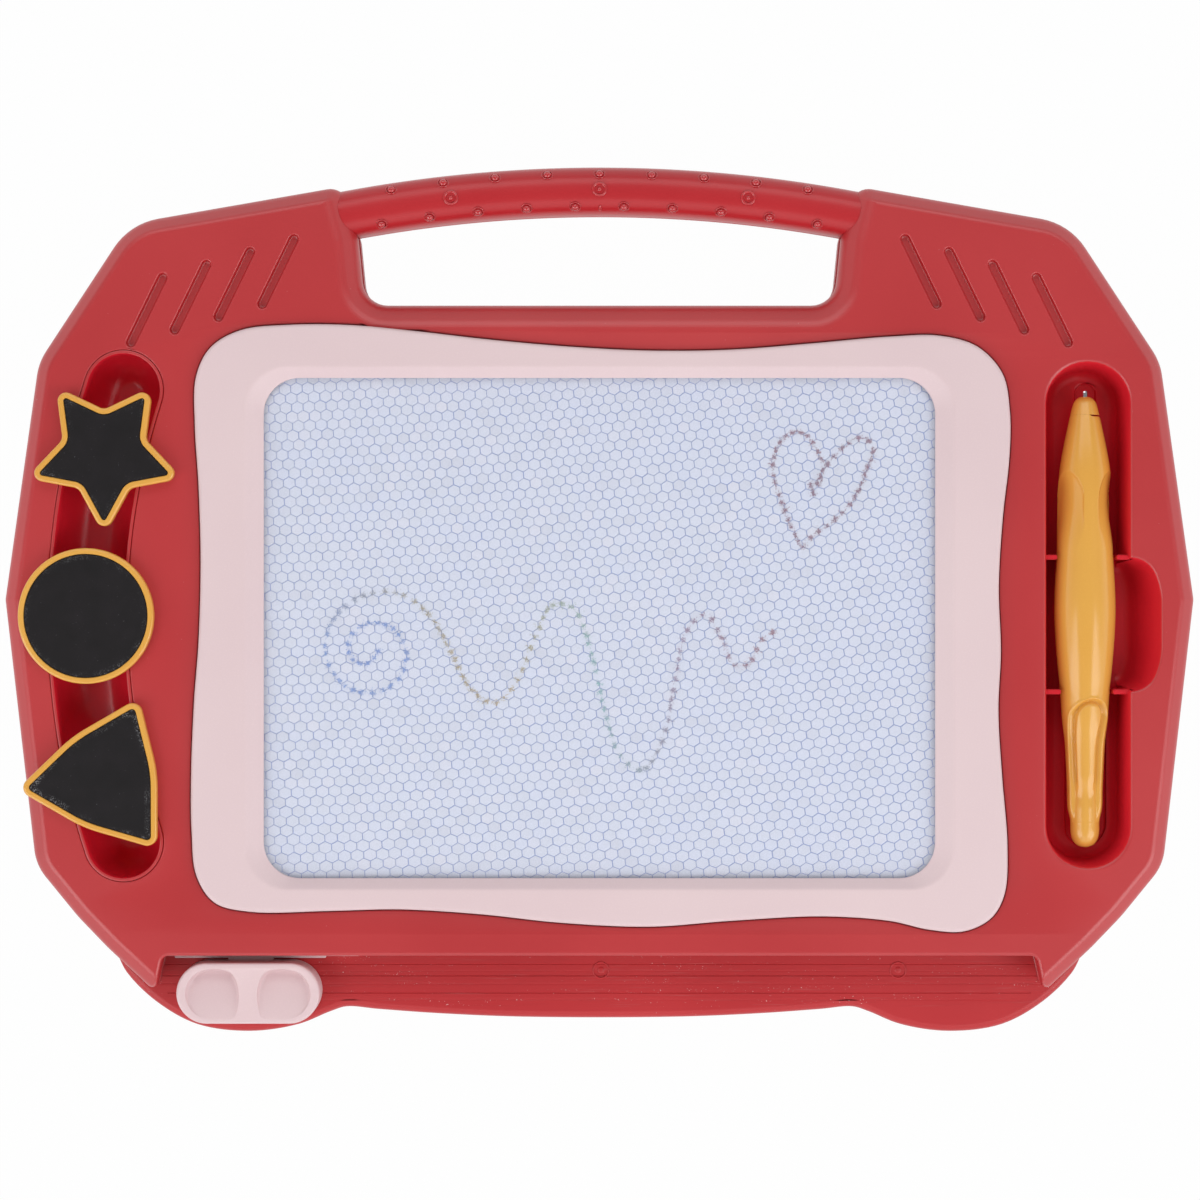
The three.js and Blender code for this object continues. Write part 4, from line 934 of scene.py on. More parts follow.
def make_stamp_tray():
    skin = Skin()
    lip = CHANNEL_HALF_WIDTH - TRAY_SEAM
    inner = lip - LIP
    lip_top = shell_top + LIP_PROUD
    middle = TRAY_FLOOR + inner
    flange_top = tray_high.z - WALL - SEAT_GAP
    steepest = math.acos(FLOOR_HALF / inner)

    def bowl(radius):
        turns = [steepest * step / BOWL_STEPS for step in range(BOWL_STEPS + 1)]
        return [(radius * math.cos(turn), middle - radius * math.sin(turn)) for turn in turns]

    rim = LIP / 3
    outside = [(lip - rim, lip_top), (lip - rim / 4, lip_top - rim / 4), (lip, lip_top - rim)]
    outside += [(lip, flange_top), (lip + FLANGE, flange_top), (lip + FLANGE, flange_top - FLANGE_THICKNESS)]
    outside += [(inner + TRAY_SKIN, flange_top - FLANGE_THICKNESS)] + bowl(inner + TRAY_SKIN)
    inside = [(inner + rim, lip_top), (inner + rim / 4, lip_top - rim / 4), (inner, lip_top - rim)]
    inside += bowl(inner)
    outer = [skin.ring(channel_outline(half), height) for half, height in outside]
    bore = [skin.ring(channel_outline(half), height) for half, height in inside]
    skin.strip(outer)
    skin.strip(bore[:2])
    # The bore takes slot 1: the tray's glossy red, painted lighter as painted light for the shade inside the
    # trough.
    skin.strip(bore[1:], slot=1)
    skin.strip([outer[0], bore[0]])
    skin.fill(outer[-1])
    skin.fill(bore[-1], slot=1)
    made("stamp_tray_skin", skin, [shell_red, tray_red], "housing", ["stamp_tray"], "tray_red")


make_stamp_tray()

# %% [markdown]
# ## The bezel
# The frame stands a little above the shell. Its outer edge has a small even rounding, and its face falls to
# the window in a slope with soft creases, so the slope is a stack of rings that grow from one rounded
# rectangle into another.

# %% Bezel
def make_bezel():
    skin = Skin()
    low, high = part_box("screen_bezel")
    seat = shell_top + SEAT_GAP
    edge = [(0, seat)] + fillet((0, high.z), (0, high.z - BEZEL_ROUND), (BEZEL_ROUND, high.z), 7)
    edge += [(BEZEL_ROUND + HOLD, high.z)]
    rim = skin.sweep(lambda inset: pushed(bezel_edge, inset), edge)

    def slope_ring(share):
        side, end = SLOPE_SIDE * (1 - share), SLOPE_END * (1 - share)
        radius = SLOPE_RADIUS + (WINDOW_RADIUS - SLOPE_RADIUS) * share
        return rounded(window_corners(side, end), [radius] * 4, WINDOW_STEPS)

    lip = low.z + BEZEL_LIP
    drop = high.z - lip
    crease = [(-0.16, 0), (-0.12, 0), (-0.04, 0.01), (0.05, 0.05), (0.14, 0.13), (0.22, 0.22)]
    foot = [(0.93, 0.93), (0.97, 0.98), (1, 1.04)]
    slope = [skin.ring(slope_ring(share), high.z - drop * down) for share, down in crease + foot]
    bottom = skin.ring(slope_ring(1), low.z)
    skin.strip([*slope, bottom])
    skin.fill(rim[-1], [slope[0]])
    sheet_ring = rounded(window_corners(SHEET_SIDE, SHEET_END), [WELL_RADIUS] * 4, WINDOW_STEPS)
    skirt = skin.strip([bottom, skin.ring(sheet_ring, low.z), skin.ring(sheet_ring, seat)])
    skin.fill(rim[0], [skirt[-1]])
    made("bezel_skin", skin, [bezel_pink], "housing", ["screen_bezel"], "bezel_pink")


make_bezel()

# %% [markdown]
# ## The rear cover and its shelf
# The back half shows as a shelf below the screen, where the eraser runs. Its outline is the shell's outline
# with two lobes along the front. One skin makes it whole: a rounded shelf edge that fades out where the shell
# covers it, the slot that the eraser's shoe runs in, fine track lines worn by the eraser, and underneath,
# ribbed bays and screw holes.

# %% Cover outline
COVER_EDGE_INSET = 1.5 * MM
COVER_EDGE_RISE = 2 * MM
COVER_FLOOR = 2.2 * MM
SHELF_EDGE_INSET = 2.4 * MM
SHELF_EDGE_DROP = 3 * MM
SHELF_EDGE_STEPS = 6
SHELF_SKIN = 2.2 * MM
SHELF_WALL = 3.5 * MM
SHELF_RIB = 1.6 * MM
SHELF_RIBS = 9
SHELF_REACH = 12 * MM
EDGE_FADE = 9 * MM
shelf_shares = [
    (0.13, -0.967), (0.273, -0.959), (0.376, -0.949), (0.43, -0.943), (0.457, -0.954), (0.512, -0.984),
    (0.594, -1), (0.684, -0.984), (0.754, -0.931), (0.8035, -0.864), (0.8175, -0.822),
]
beyond_front_share = (0.5605, -1.12)
join_share = (0.8175, -0.8097)

half_shelf = points(shelf_shares)
lobes = flowing(mirrored(half_shelf) + half_shelf, 8, closed=False)
join = points([join_share])[0]
side_right = points([beyond_front_share] + side_shares + notch_shares)
side_radii = [6 * MM, 20 * MM] + SIDE_RADII[1:] + NOTCH_RADII
side_outline = rounded(side_right + mirrored(side_right), side_radii + side_radii[::-1])
cover_outline = lobes + [join] + [p for p in side_outline if p.y > join.y + HOLD] + mirrored([join])
inner_y = front_y + SHELF_REACH
print("cover edge:", len(cover_outline), "points")


# %% Helpers for the shelf
def shelf_weight(point):
    """1 along the open shelf edge, 0 where the shell stands on the cover."""
    return min(max((join.y - point.y) / EDGE_FADE, 0), 1)


def between(curve, left, right):
    """The stretch of a left-to-right curve between two places, with cut ends."""
    def at(x):
        for a, b in zip(curve, curve[1:]):
            if a.x <= x <= b.x:
                return a + (b - a) * ((x - a.x) / (b.x - a.x))
        return curve[-1].copy()
    return [at(left)] + [p for p in curve if left + HOLD < p.x < right - HOLD] + [at(right)]


def behind(outline, y):
    """The part of an outline behind a line across the board."""
    found = []
    for i, point in enumerate(outline):
        last = outline[i - 1]
        if (last.y > y) != (point.y > y):
            found.append(last + (point - last) * ((y - last.y) / (point.y - last.y)))
        if point.y > y:
            found.append(point)
    return found


def shelf_bays():
    edge = pushed(cover_outline, SHELF_WALL)[:len(lobes)]
    reach = edge[-1].x
    pitch = 2 * half_shelf[-1].x / (SHELF_RIBS + 1)
    ribs = [-half_shelf[-1].x + pitch * (i + 1) for i in range(SHELF_RIBS)]
    starts = [-reach] + [x + SHELF_RIB / 2 for x in ribs]
    ends = [x - SHELF_RIB / 2 for x in ribs] + [reach]
    top = inner_y - SHELF_WALL
    return [
        between(edge, left, right) + [Vector((right, top)), Vector((left, top))]
        for left, right in zip(starts, ends)
    ]


# %% The cover's skin
SCREW_HOLE_RADIUS = 3.3 * MM
HEAD_SINK = 3.4 * MM
SEAT_TOP = 5 * MM
BOSS_RADIUS = 4.9 * MM
TRACK_WIDTH = 0.34 * MM
SLOT_WIDTH = 1 * MM
SLOT_DEPTH = 1.6 * MM
SLOT_LEFT = -79 * MM
SLOT_RIGHT = 141 * MM
SLOT_Y = -116.5 * MM
track_lines = [
    (-120.4, 144, 0.14), (-122.6, 120, 0.06), (-124.2, 146, 0.22), (-126.8, 145, 0.08), (-129.9, 143, 0.2),
    (-132.1, 120, 0.07),
]
screw_places = [middle_of(f"housing_screw_{i + 1}") for i in range(8)]


def make_cover():
    skin = Skin()
    weights = [shelf_weight(p) for p in cover_outline]
    weigh = lambda small, large: [small + (large - small) * w for w in weights]
    inset = weigh(PART_LINE_ROUND, SHELF_EDGE_INSET)
    drop = weigh(PART_LINE_ROUND, SHELF_EDGE_DROP)
    rings = []
    for depth, height in reversed(fillet((0, 0), (0, COVER_EDGE_RISE), (COVER_EDGE_INSET, 0), 4)):
        rings.append(skin.ring(pushed(cover_outline, depth), height))
    base = skin.ring(pushed(cover_outline, COVER_EDGE_INSET + HOLD), 0)
    rings.insert(0, base)
    for step in range(SHELF_EDGE_STEPS + 1):
        turn = math.pi / 2 * step / SHELF_EDGE_STEPS
        depths = [value * (1 - math.cos(turn)) for value in inset]
        heights_now = [shelf_top - value * (1 - math.sin(turn)) for value in drop]
        rings.append(skin.ring(pushed(cover_outline, depths), heights_now))
    top = skin.ring(pushed(cover_outline, [value + HOLD for value in inset]), shelf_top)
    skin.strip([*rings, top])

    well = behind(pushed(side_outline, WALL), inner_y)
    well_rings = skin.sweep(lambda inset: well, [(0, shelf_top), (0, COVER_FLOOR)])
    islands = []
    for place in screw_places:
        boss = disc(place.x, place.y, BOSS_RADIUS)
        island = skin.sweep(lambda inset: boss, [(0, COVER_FLOOR), (0, SEAT_TOP)])
        skin.fill(island[-1])
        islands.append(island[0])
    skin.fill(well_rings[-1], islands)
    holes = [well_rings[0]]
    half = TRACK_WIDTH / 2
    for y, reach, depth in track_lines:
        middle, end = y * MM, reach * MM
        line = lambda inset: rectangle(inset - end, end - inset, middle - half + inset, middle + half - inset)
        track = skin.sweep(line, [(0, shelf_top), (TRACK_WIDTH / 3, shelf_top - depth * MM)])
        skin.fill(track[-1])
        holes.append(track[0])
    front, back = SLOT_Y - SLOT_WIDTH / 2, SLOT_Y + SLOT_WIDTH / 2
    slot = skin.sweep(
        lambda inset: rectangle(SLOT_LEFT, SLOT_RIGHT, front + inset, back - inset),
        [(0, shelf_top), (SLOT_WIDTH / 8, shelf_top - SLOT_DEPTH)],
    )
    skin.fill(slot[-1])
    holes.append(slot[0])
    skin.fill(top, holes)

    under = []
    for bay in shelf_bays():
        walls = skin.sweep(lambda inset: bay, [(0, 0), (0, shelf_top - SHELF_SKIN)])
        skin.fill(walls[-1])
        under.append(walls[0])
    for place in screw_places:
        bore = skin.sweep(lambda inset: disc(place.x, place.y, SCREW_HOLE_RADIUS - inset), [
            (-PART_LINE_ROUND, 0), (0, PART_LINE_ROUND), (0, HEAD_SINK),
        ])
        skin.fill(bore[-1])
        under.append(bore[0])
    skin.fill(base, under)
    made("rear_cover_skin", skin, [shelf_red], "housing", ["rear_cover"], "shell_red")


make_cover()

# %% [markdown]
# ## The grip
# The grip is an oval bar on a shallow arc, in a front and a rear half. Each half is one section swept along
# the arc. A small round on the parting edge draws the seam. Rows of little studs for the fingers, and the
# rings over the screw posts, are Geometry Nodes instances that stand square to the surface.

# %% Grip sweep
GRIP_SPAN = 184 * MM
GRIP_FACE_SPAN = 169 * MM
GRIP_BOW = 9.5 * MM
GRIP_WIDTH = 16 * MM
GRIP_HEIGHT = 19.6 * MM
GRIP_ROUNDNESS = 2.5
GRIP_TENON = 2.4 * MM
GRIP_STEPS = 72
SECTION_STEPS = 40
REACH_TRIES = 6
SEAM_ROUND = 0.35 * MM
grip_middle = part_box("handle_front_half")[1].z - GRIP_HEIGHT / 2
grip_radius = (GRIP_SPAN ** 2 / 4 + GRIP_BOW ** 2) / (2 * GRIP_BOW)
grip_y = half_height - GRIP_WIDTH / 2
print(f"grip: bent to a radius of {grip_radius / MM:.0f} mm")


def on_grip(along, across, height):
    """A point of the grip from its place along the arc, across it and above its middle."""
    turn = along / grip_radius
    radius = grip_radius + across
    y = grip_y + radius * math.cos(turn) - grip_radius
    return Vector((radius * math.sin(turn), y, grip_middle + height))


def grip_reach(across, height):
    """How far along its arc the grip runs at one place of its section, before it meets the shoulder."""
    reach = GRIP_FACE_SPAN / 2
    for step in range(REACH_TRIES):
        spot = on_grip(reach, across, height)
        ring = shell_ring_at(max(spot.z, shell_low))
        crossings = [
            a.x + (b.x - a.x) * (spot.y - a.y) / (b.y - a.y) for a, b in zip(ring, ring[1:])
            if (a.y > spot.y) != (b.y > spot.y) and a.x > 0
        ]
        reach += min(crossings, default=spot.x) - SEAM_ROUND / 4 - spot.x
    return reach


def oval(share, slim):
    """A point of half the section, from share 0 at one parting edge to 1 at the other."""
    angle = math.pi * share
    power = 2 / GRIP_ROUNDNESS
    across = math.copysign(abs(math.cos(angle)) ** power, math.cos(angle)) * (GRIP_WIDTH / 2 - slim)
    return across, abs(math.sin(angle)) ** power * (GRIP_HEIGHT / 2 - slim)


def make_grip_half(name, side, replaced):
    skin = Skin()
    rings = []
    reaches = {}
    beyond = GRIP_SPAN / GRIP_FACE_SPAN
    places = [(2 * i / GRIP_STEPS - 1, 0) for i in range(GRIP_STEPS + 1)]
    places = [(-beyond, GRIP_TENON), (-1, GRIP_TENON), *places, (1, GRIP_TENON), (beyond, GRIP_TENON)]
    for share, slim in places:
        section = [oval(i / SECTION_STEPS, slim) for i in range(SECTION_STEPS + 1)]
        first, last = section[0], section[-1]
        section = [(a, max(h, SEAM_ROUND + SEAT_GAP / 4)) for a, h in section]
        section.insert(0, (first[0] - SEAM_ROUND, SEAT_GAP / 4))
        section.append((last[0] + SEAM_ROUND, SEAT_GAP / 4))
        if slim not in reaches:
            reaches[slim] = [grip_reach(a, side * h) for a, h in section]
        rings.append(skin.loop([
            on_grip(share * reach, a, side * h) for reach, (a, h) in zip(reaches[slim], section)
        ]))
    skin.strip(rings)
    skin.cap(rings)
    made(name, skin, [grip_red], "housing", [replaced], "shell_red")


make_grip_half("grip_front_skin", 1, "handle_front_half")
make_grip_half("grip_rear_skin", -1, "handle_rear_half")

# %% Where the studs stand
STUD_RADIUS = 1.3 * MM
STUD_HEIGHT = 1.25 * MM
STUD_RING = 1.75 * MM
RING_RADIUS = 2.05 * MM
RING_WIRE = 0.46 * MM
GATE_RADIUS = 0.5 * MM
GATE_STRETCH = 2.6
GATE_PLACE = (0.2, -6)
upper_studs = [(16.93 * (i - 4), 4.9) for i in range(9)]
lower_studs = [(16.15 * (i - 4.5), -5.6) for i in range(10)]
GRIP_SCREW_SPACING = 48.8 * MM
ring_places = [(-GRIP_SCREW_SPACING / MM, -0.4), (0, -0.2), (GRIP_SCREW_SPACING / MM, -0.4)]


def scattered(name, places, **attributes):
    """A mesh of loose points with a value of each named attribute at every point."""
    mesh = bpy.data.meshes.new(name)
    mesh.from_pydata(places, [], [])
    for label, values in attributes.items():
        vector = hasattr(values[0], "__len__")
        layer = mesh.attributes.new(label, "FLOAT_VECTOR" if vector else "FLOAT", "POINT")
        flat = [part for value in values for part in value] if vector else values
        layer.data.foreach_set("vector" if vector else "value", flat)
    return link(name, mesh)


def stud_points(name, places):
    """A mesh of loose points on the grip's surface, each with the direction it faces."""
    spots, leans = [], []
    for along, across in places:
        share = across * MM / (GRIP_WIDTH / 2)
        height = (GRIP_HEIGHT / 2) * (1 - abs(share) ** GRIP_ROUNDNESS) ** (1 / GRIP_ROUNDNESS)
        slope = (height / (GRIP_HEIGHT / 2)) ** (GRIP_ROUNDNESS - 1) / (GRIP_HEIGHT / 2)
        tilt = math.copysign(abs(share) ** (GRIP_ROUNDNESS - 1), share) / (GRIP_WIDTH / 2)
        spots.append(on_grip(along * MM, across * MM, height))
        leans.append(Vector((0, tilt, slope)).normalized())
    return scattered(name, spots, lean=leans)


# %% [markdown]
# Geometry Nodes put a copy at each of many points. Every tree starts with named inputs for its sizes and ends
# by making its copies real, because a piece has to be plain mesh before it goes on its body.

# %% Helpers for Geometry Nodes
def new_tree(name, numbers, others=()):
    """A Geometry Nodes tree with a geometry input, named numbers, a material and a few others."""
    tree = bpy.data.node_groups.new(name, "GeometryNodeTree")
    web = Web(tree)
    numbers = [(label, "Float") for label in numbers]
    for label, kind in [("Geometry", "Geometry"), *numbers, *others, ("Material", "Material")]:
        tree.interface.new_socket(label, in_out="INPUT", socket_type=f"NodeSocket{kind}")
    tree.interface.new_socket("Geometry", in_out="OUTPUT", socket_type="NodeSocketGeometry")
    entry = tree.nodes.new("NodeGroupInput")
    return web, {socket.name: Wire(web, socket) for socket in entry.outputs if socket.name}


def joined(web, parts, kind, label, settings=None):
    """Several geometries in the one input of a node that takes many."""
    whole = web.node(kind, settings)
    for part in parts:
        web.tree.links.new(part.socket, whole.socket.node.inputs[label])
    return whole


def stored(web, name, kind="FLOAT"):
    """A value kept on the loose points."""
    return web.node("GeometryNodeInputNamedAttribute", {"data_type": kind}, {"Name": name})


def stood(web, given, instance, **placing):
    """Stands a copy at every point, makes the copies real and gives them their material."""
    inputs = {"Points": given["Geometry"], "Instance": instance, **placing}
    spread = web.node("GeometryNodeInstanceOnPoints", None, inputs)
    whole = web.node("GeometryNodeRealizeInstances", None, {"Geometry": spread})
    dressed = web.node("GeometryNodeSetMaterial", None, {"Geometry": whole, "Material": given["Material"]})
    web.node("NodeGroupOutput", None, {"Geometry": dressed})
    return web


def grown(piece, web, values, body, replaced, sharp=SHARP_ANGLE):
    """Runs a tree on a piece, keeps the result as a plain mesh and settles it on a body."""
    modifier = piece.modifiers.new("grow", "NODES")
    modifier.node_group = web.tree
    sockets = {item.name: item.identifier for item in web.tree.interface.items_tree if item.in_out == "INPUT"}
    for label, value in values.items():
        modifier[sockets[label]] = value
    evaluated = piece.evaluated_get(bpy.context.evaluated_depsgraph_get())
    mesh = bpy.data.meshes.new_from_object(evaluated)
    piece.modifiers.remove(modifier)
    piece.data = mesh
    mesh.name = piece.name
    settle(piece, [], body, replaced, sharp)


# %% Studs and rings by Geometry Nodes
STUD_INPUTS = ("Stud Radius", "Stud Height", "Ring Radius", "Wire Radius", "Stretch")


def stud_tree():
    web, given = new_tree("studs", STUD_INPUTS)
    ball = web.node("GeometryNodeMeshUVSphere", None, {"Segments": 20, "Rings": 12, "Radius": 1.0})
    scale = web.node("ShaderNodeCombineXYZ", None, {
        "X": given["Stud Radius"], "Y": given["Stud Radius"] * given["Stretch"], "Z": given["Stud Height"],
    })
    dome = web.node("GeometryNodeTransform", None, {"Geometry": ball, "Scale": scale})
    circle, wire = (
        web.node("GeometryNodeCurvePrimitiveCircle", None, {"Resolution": steps, "Radius": given[label]})
        for steps, label in ((32, "Ring Radius"), (10, "Wire Radius"))
    )
    ring = web.node("GeometryNodeCurveToMesh", None, {"Curve": circle, "Profile Curve": wire})
    both = joined(web, [dome, ring], "GeometryNodeJoinGeometry", 0)
    lean = stored(web, "lean", "FLOAT_VECTOR")
    turn = web.node("FunctionNodeAlignRotationToVector", {"axis": "Z"}, {"Vector": lean})
    return stood(web, given, both, Rotation=turn)


studs = stud_tree()


def grow_studs(piece, material, *sizes):
    values = {**dict(zip(STUD_INPUTS, sizes)), "Material": material}
    grown(piece, studs, values, "housing", ())


stud_sizes = (STUD_RADIUS, STUD_HEIGHT, STUD_RING, STUD_HEIGHT / 6, 1.0)
ring_sizes = (STUD_RADIUS * 0.6, STUD_HEIGHT * 0.5, RING_RADIUS, RING_WIRE, 1.0)
gate_sizes = (GATE_RADIUS, GATE_RADIUS, GATE_RADIUS / 2, GATE_RADIUS / 4, GATE_STRETCH)
grow_studs(stud_points("grip_studs", upper_studs + lower_studs), stud_red, *stud_sizes)
grow_studs(stud_points("grip_rings", ring_places), stud_red, *ring_sizes)
grow_studs(stud_points("grip_gate_mark", [GATE_PLACE]), stud_red, *gate_sizes)

# %% Moulding marks on the shelf
PIN_MARK_RADIUS = 2.6 * MM
PIN_MARK_WIRE = 0.24 * MM
PIN_MARK_PIP = 1.1 * MM
pin_marks = [(0.5 * MM, -122.3 * MM, shelf_top), (98.9 * MM, -122.3 * MM, shelf_top)]
marks = scattered("shelf_marks", pin_marks, lean=[Vector((0, 0, 1))] * len(pin_marks))
grow_studs(marks, shelf_red, PIN_MARK_PIP, PIN_MARK_PIP / 5, PIN_MARK_RADIUS, PIN_MARK_WIRE, 1.0)

# %% [markdown]
# ## The eraser's knob
# The knob is a stadium with two thumb hollows and a waisted bridge between them. Each hollow is a stack of
# shrinking rings that drop steeply along the back and run out to nothing at the front.

# %% Knob
KNOB_ROUND = 0.8 * MM
THUMB_DEPTH = 5.4 * MM
KNOB_STEPS = 14
knob_centre = middle_of("eraser_knob")
hollow_places = [
    (-20.6, -0.4), (-19.8, 3.3), (-17.5, 6.2), (-13.8, 7.8), (-8.6, 7.9), (-5.3, 6.6), (-3.5, 3.2),
    (-2.9, -0.8), (-3.3, -4.8), (-4.3, -7.9), (-7.5, -8.6), (-12.5, -8.6), (-16.5, -7.4), (-19.3, -4.6),
]
HOLLOW_HEART = Vector((-12, 0.5))
HOLLOW_FALL = 1.15
hollow_rings = [
    (1.01, 0), (1, 0.01), (0.99, 0.1), (0.977, 0.32), (0.962, 0.58), (0.935, 0.8), (0.88, 0.93), (0.77, 0.99),
    (0.55, 1), (0.35, 1.01), (0.15, 1.01),
]


def make_knob():
    skin = Skin()
    low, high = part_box("eraser_knob")
    radius = (high.y - low.y) / 2
    corners = rectangle(low.x, high.x, low.y, high.y)
    outline = lambda inset: ring_of(corners, [radius] * 4, [inset] * 4, KNOB_STEPS)
    rings = skin.sweep(outline, block(low.z, high.z, PART_LINE_ROUND, KNOB_ROUND, 6))
    holes = []
    for side in (1, -1):
        shape = flowing([Vector(p) for p in hollow_places], 5)
        front, back = min(p.y for p in shape), max(p.y for p in shape)
        stack = []
        for share, fall in hollow_rings:
            ring = [HOLLOW_HEART + (p - HOLLOW_HEART) * share for p in shape]
            slope = [max((p.y - front) / (back - front), 0) ** HOLLOW_FALL for p in ring]
            placed = [Vector((knob_centre.x + side * p.x * MM, knob_centre.y + p.y * MM)) for p in ring]
            stack.append(skin.ring(placed, [high.z - THUMB_DEPTH * fall * value for value in slope]))
        skin.strip(stack)
        skin.fill(stack[-1])
        holes.append(stack[0])
    skin.fill(rings[-1], holes)
    skin.fill(rings[0])
    made("eraser_knob_skin", skin, [eraser_pink], "eraser", ["eraser_knob"], "eraser_pink")


make_knob()

# %% [markdown]
# ## The edge of the eraser's shoe
# The knob stands on a shoe that runs in the slit under the housing. Only a thin rounded edge of it comes out
# in front of the housing. It is made as a low bar that travels with the knob.

# %% Edge of the eraser's shoe
SHOE_LEFT, SHOE_RIGHT = -140.4 * MM, -90.4 * MM
SHOE_FRONT, SHOE_BACK = -118 * MM, -116.8 * MM
SHOE_LOW, SHOE_HIGH = 9.7 * MM, 11.6 * MM
SHOE_ROUND = 0.25 * MM
SHOE_CORNER = 0.4 * MM


def make_shoe_edge():
    """The thin edge of the shoe that shows in front of the shell, along the slit."""
    skin = Skin()
    corners = rectangle(SHOE_LEFT, SHOE_RIGHT, SHOE_FRONT, SHOE_BACK)
    outline = lambda inset: ring_of(corners, [SHOE_CORNER] * 4, [inset] * 4, 4)
    skin.cap(skin.sweep(outline, block(SHOE_LOW, SHOE_HIGH, SHOE_ROUND, SHOE_ROUND, 3)))
    made("eraser_shoe_edge", skin, [eraser_pink], "eraser", (), "eraser_pink")


make_shoe_edge()

# %% [markdown]
# ## The pen
# The pen is turned about its long axis from a curve of radii. Three finger scoops flatten the front, and at
# the tail a collar opens in a U round an inner finger. Both are depths taken off the radius, worked out at
# each point round each ring. The joint behind the nose gapes a little on one side.

# %% Pen sizes
PEN_SIDES = 144
PEN_NOSE = 6 * MM
PEN_SEAM = 0.55 * MM
NOSE_GAP = 0.02 * MM
pen_z = TRAY_FLOOR + PEN_CLEARANCE + pen_radius
profile_shares = [
    (0, 0.16), (0.004, 0.26), (0.011, 0.35), (0.025, 0.42), (0.042, 0.48), (0.082, 0.61), (0.122, 0.73),
    (0.16, 0.82), (0.213, 0.88), (0.278, 0.9), (0.36, 0.925), (0.407, 0.967), (0.471, 1), (0.547, 0.95),
    (0.598, 0.888), (0.653, 0.805), (0.718, 0.742), (0.764, 0.66), (0.818, 0.613), (0.871, 0.58),
    (0.905, 0.57), (0.917, 0.552), (0.927, 0.518), (0.936, 0.486), (0.945, 0.472), (0.965, 0.468),
    (0.979, 0.43), (0.99, 0.345), (0.9965, 0.22), (0.9995, 0.08), (1, 0.02),
]
SCOOPS = 3
SCOOP_TURN = math.radians(24)
SCOOP_HALF = math.radians(44)
SCOOP_DEPTH = 1.7 * MM
SCOOP_START = 24.5 * MM
SCOOP_LENGTH = 27 * MM
SCOOP_ARCH = 9.7 * MM
SCOOP_FADE = 12 * MM
SCOOP_RISE_POWER = 0.7
SCOOP_ROUND_POWER = 0.55
COLLAR_START = 98.9 * MM
COLLAR_END = 139.6 * MM
COLLAR_TURN = math.radians(-4.5)
COLLAR_ARCH_TURN = math.radians(16)
COLLAR_ARCH_LENGTH = 16 * MM
COLLAR_OPEN_SHARE = 0.84
COLLAR_WALL = 0.7 * MM
COLLAR_LIP = 0.25 * MM
FINGER_DROP = 0.4 * MM
FINGER_GROOVE = 1.3 * MM
FINGER_ROUND = 1.6 * MM
GROOVE_FADE = 6 * MM
KNUCKLE_START = 124 * MM
KNUCKLE_DIP = 131.5 * MM
KNUCKLE_RISE = 135 * MM
TAIL_TIP_SHARE = 0.47
TAIL_DIP_SHARE = 0.445
fine_rows = [(23.5 * MM, 40 * MM), (97 * MM, 139 * MM)]
FINE_ROW = 0.33 * MM
pen_spots = [Vector((share * PEN_LENGTH, size * pen_radius)) for share, size in profile_shares]
pen_curve = flowing(pen_spots, 10, closed=False)
print("pen curve:", len(pen_curve), "points")
tip_radius = TAIL_TIP_SHARE * pen_radius
dip_radius = TAIL_DIP_SHARE * pen_radius


# %% Scoops and collar
def eased(share):
    """0 to 1 without a corner at either end."""
    share = min(max(share, 0), 1)
    return share * share * (3 - 2 * share)


def finger_radius(along, radius):
    """The inner finger: level with the pen, then a dip, then the round knuckle of the tail."""
    found = radius - FINGER_DROP
    found += (dip_radius - found) * eased((along - KNUCKLE_START) / (KNUCKLE_DIP - KNUCKLE_START))
    return found + (tip_radius - dip_radius) * eased((along - KNUCKLE_DIP) / (KNUCKLE_RISE - KNUCKLE_DIP))


def scoop_depth(along, angle):
    """How deep the nearest finger scoop is: a thumbnail shape, steep at the nose and faint at the tail."""
    from_nose = along - SCOOP_START
    from_tail = SCOOP_LENGTH - from_nose
    if min(from_nose, from_tail) <= 0:
        return 0
    rise = min(from_nose / SCOOP_ARCH, 1)
    fall = min(from_tail / SCOOP_FADE, 1)
    half = SCOOP_HALF * math.sqrt(1 - (1 - rise) ** 2) * math.sqrt(1 - (1 - fall) ** 2)
    pitch = 2 * math.pi / SCOOPS
    off = (angle - SCOOP_TURN + pitch / 2) % pitch - pitch / 2
    if abs(off) >= half:
        return 0
    depth = SCOOP_DEPTH * math.sin(math.pi / 2 * rise) ** SCOOP_RISE_POWER
    depth *= eased(from_tail / (SCOOP_LENGTH - SCOOP_ARCH))
    return depth * (1 - (off / half) ** 2) ** SCOOP_ROUND_POWER


def pen_surface(along, radius, angle):
    """The pen's radius at a distance from its nose and an angle about its axis."""
    found = radius - scoop_depth(along, angle)
    turn = COLLAR_TURN + COLLAR_ARCH_TURN * (1 - eased((along - COLLAR_START) / COLLAR_ARCH_LENGTH))
    if COLLAR_START - COLLAR_WALL < along < COLLAR_END and math.sin(angle + turn) > 0:
        half = COLLAR_OPEN_SHARE * radius
        across = radius * math.cos(angle + turn)
        inside = half - math.hypot(across, max(COLLAR_START + half - along, 0))
        if inside > 0:
            groove = FINGER_GROOVE * (1 - eased((inside - COLLAR_WALL) / FINGER_ROUND))
            floor = finger_radius(along, radius) - groove * (1 - eased((along - KNUCKLE_START) / GROOVE_FADE))
            found += (floor - found) * eased(inside / COLLAR_WALL)
        else:
            found += COLLAR_LIP * max(1 + inside / COLLAR_WALL, 0) * min(-inside / COLLAR_WALL * 4, 1)
    return found


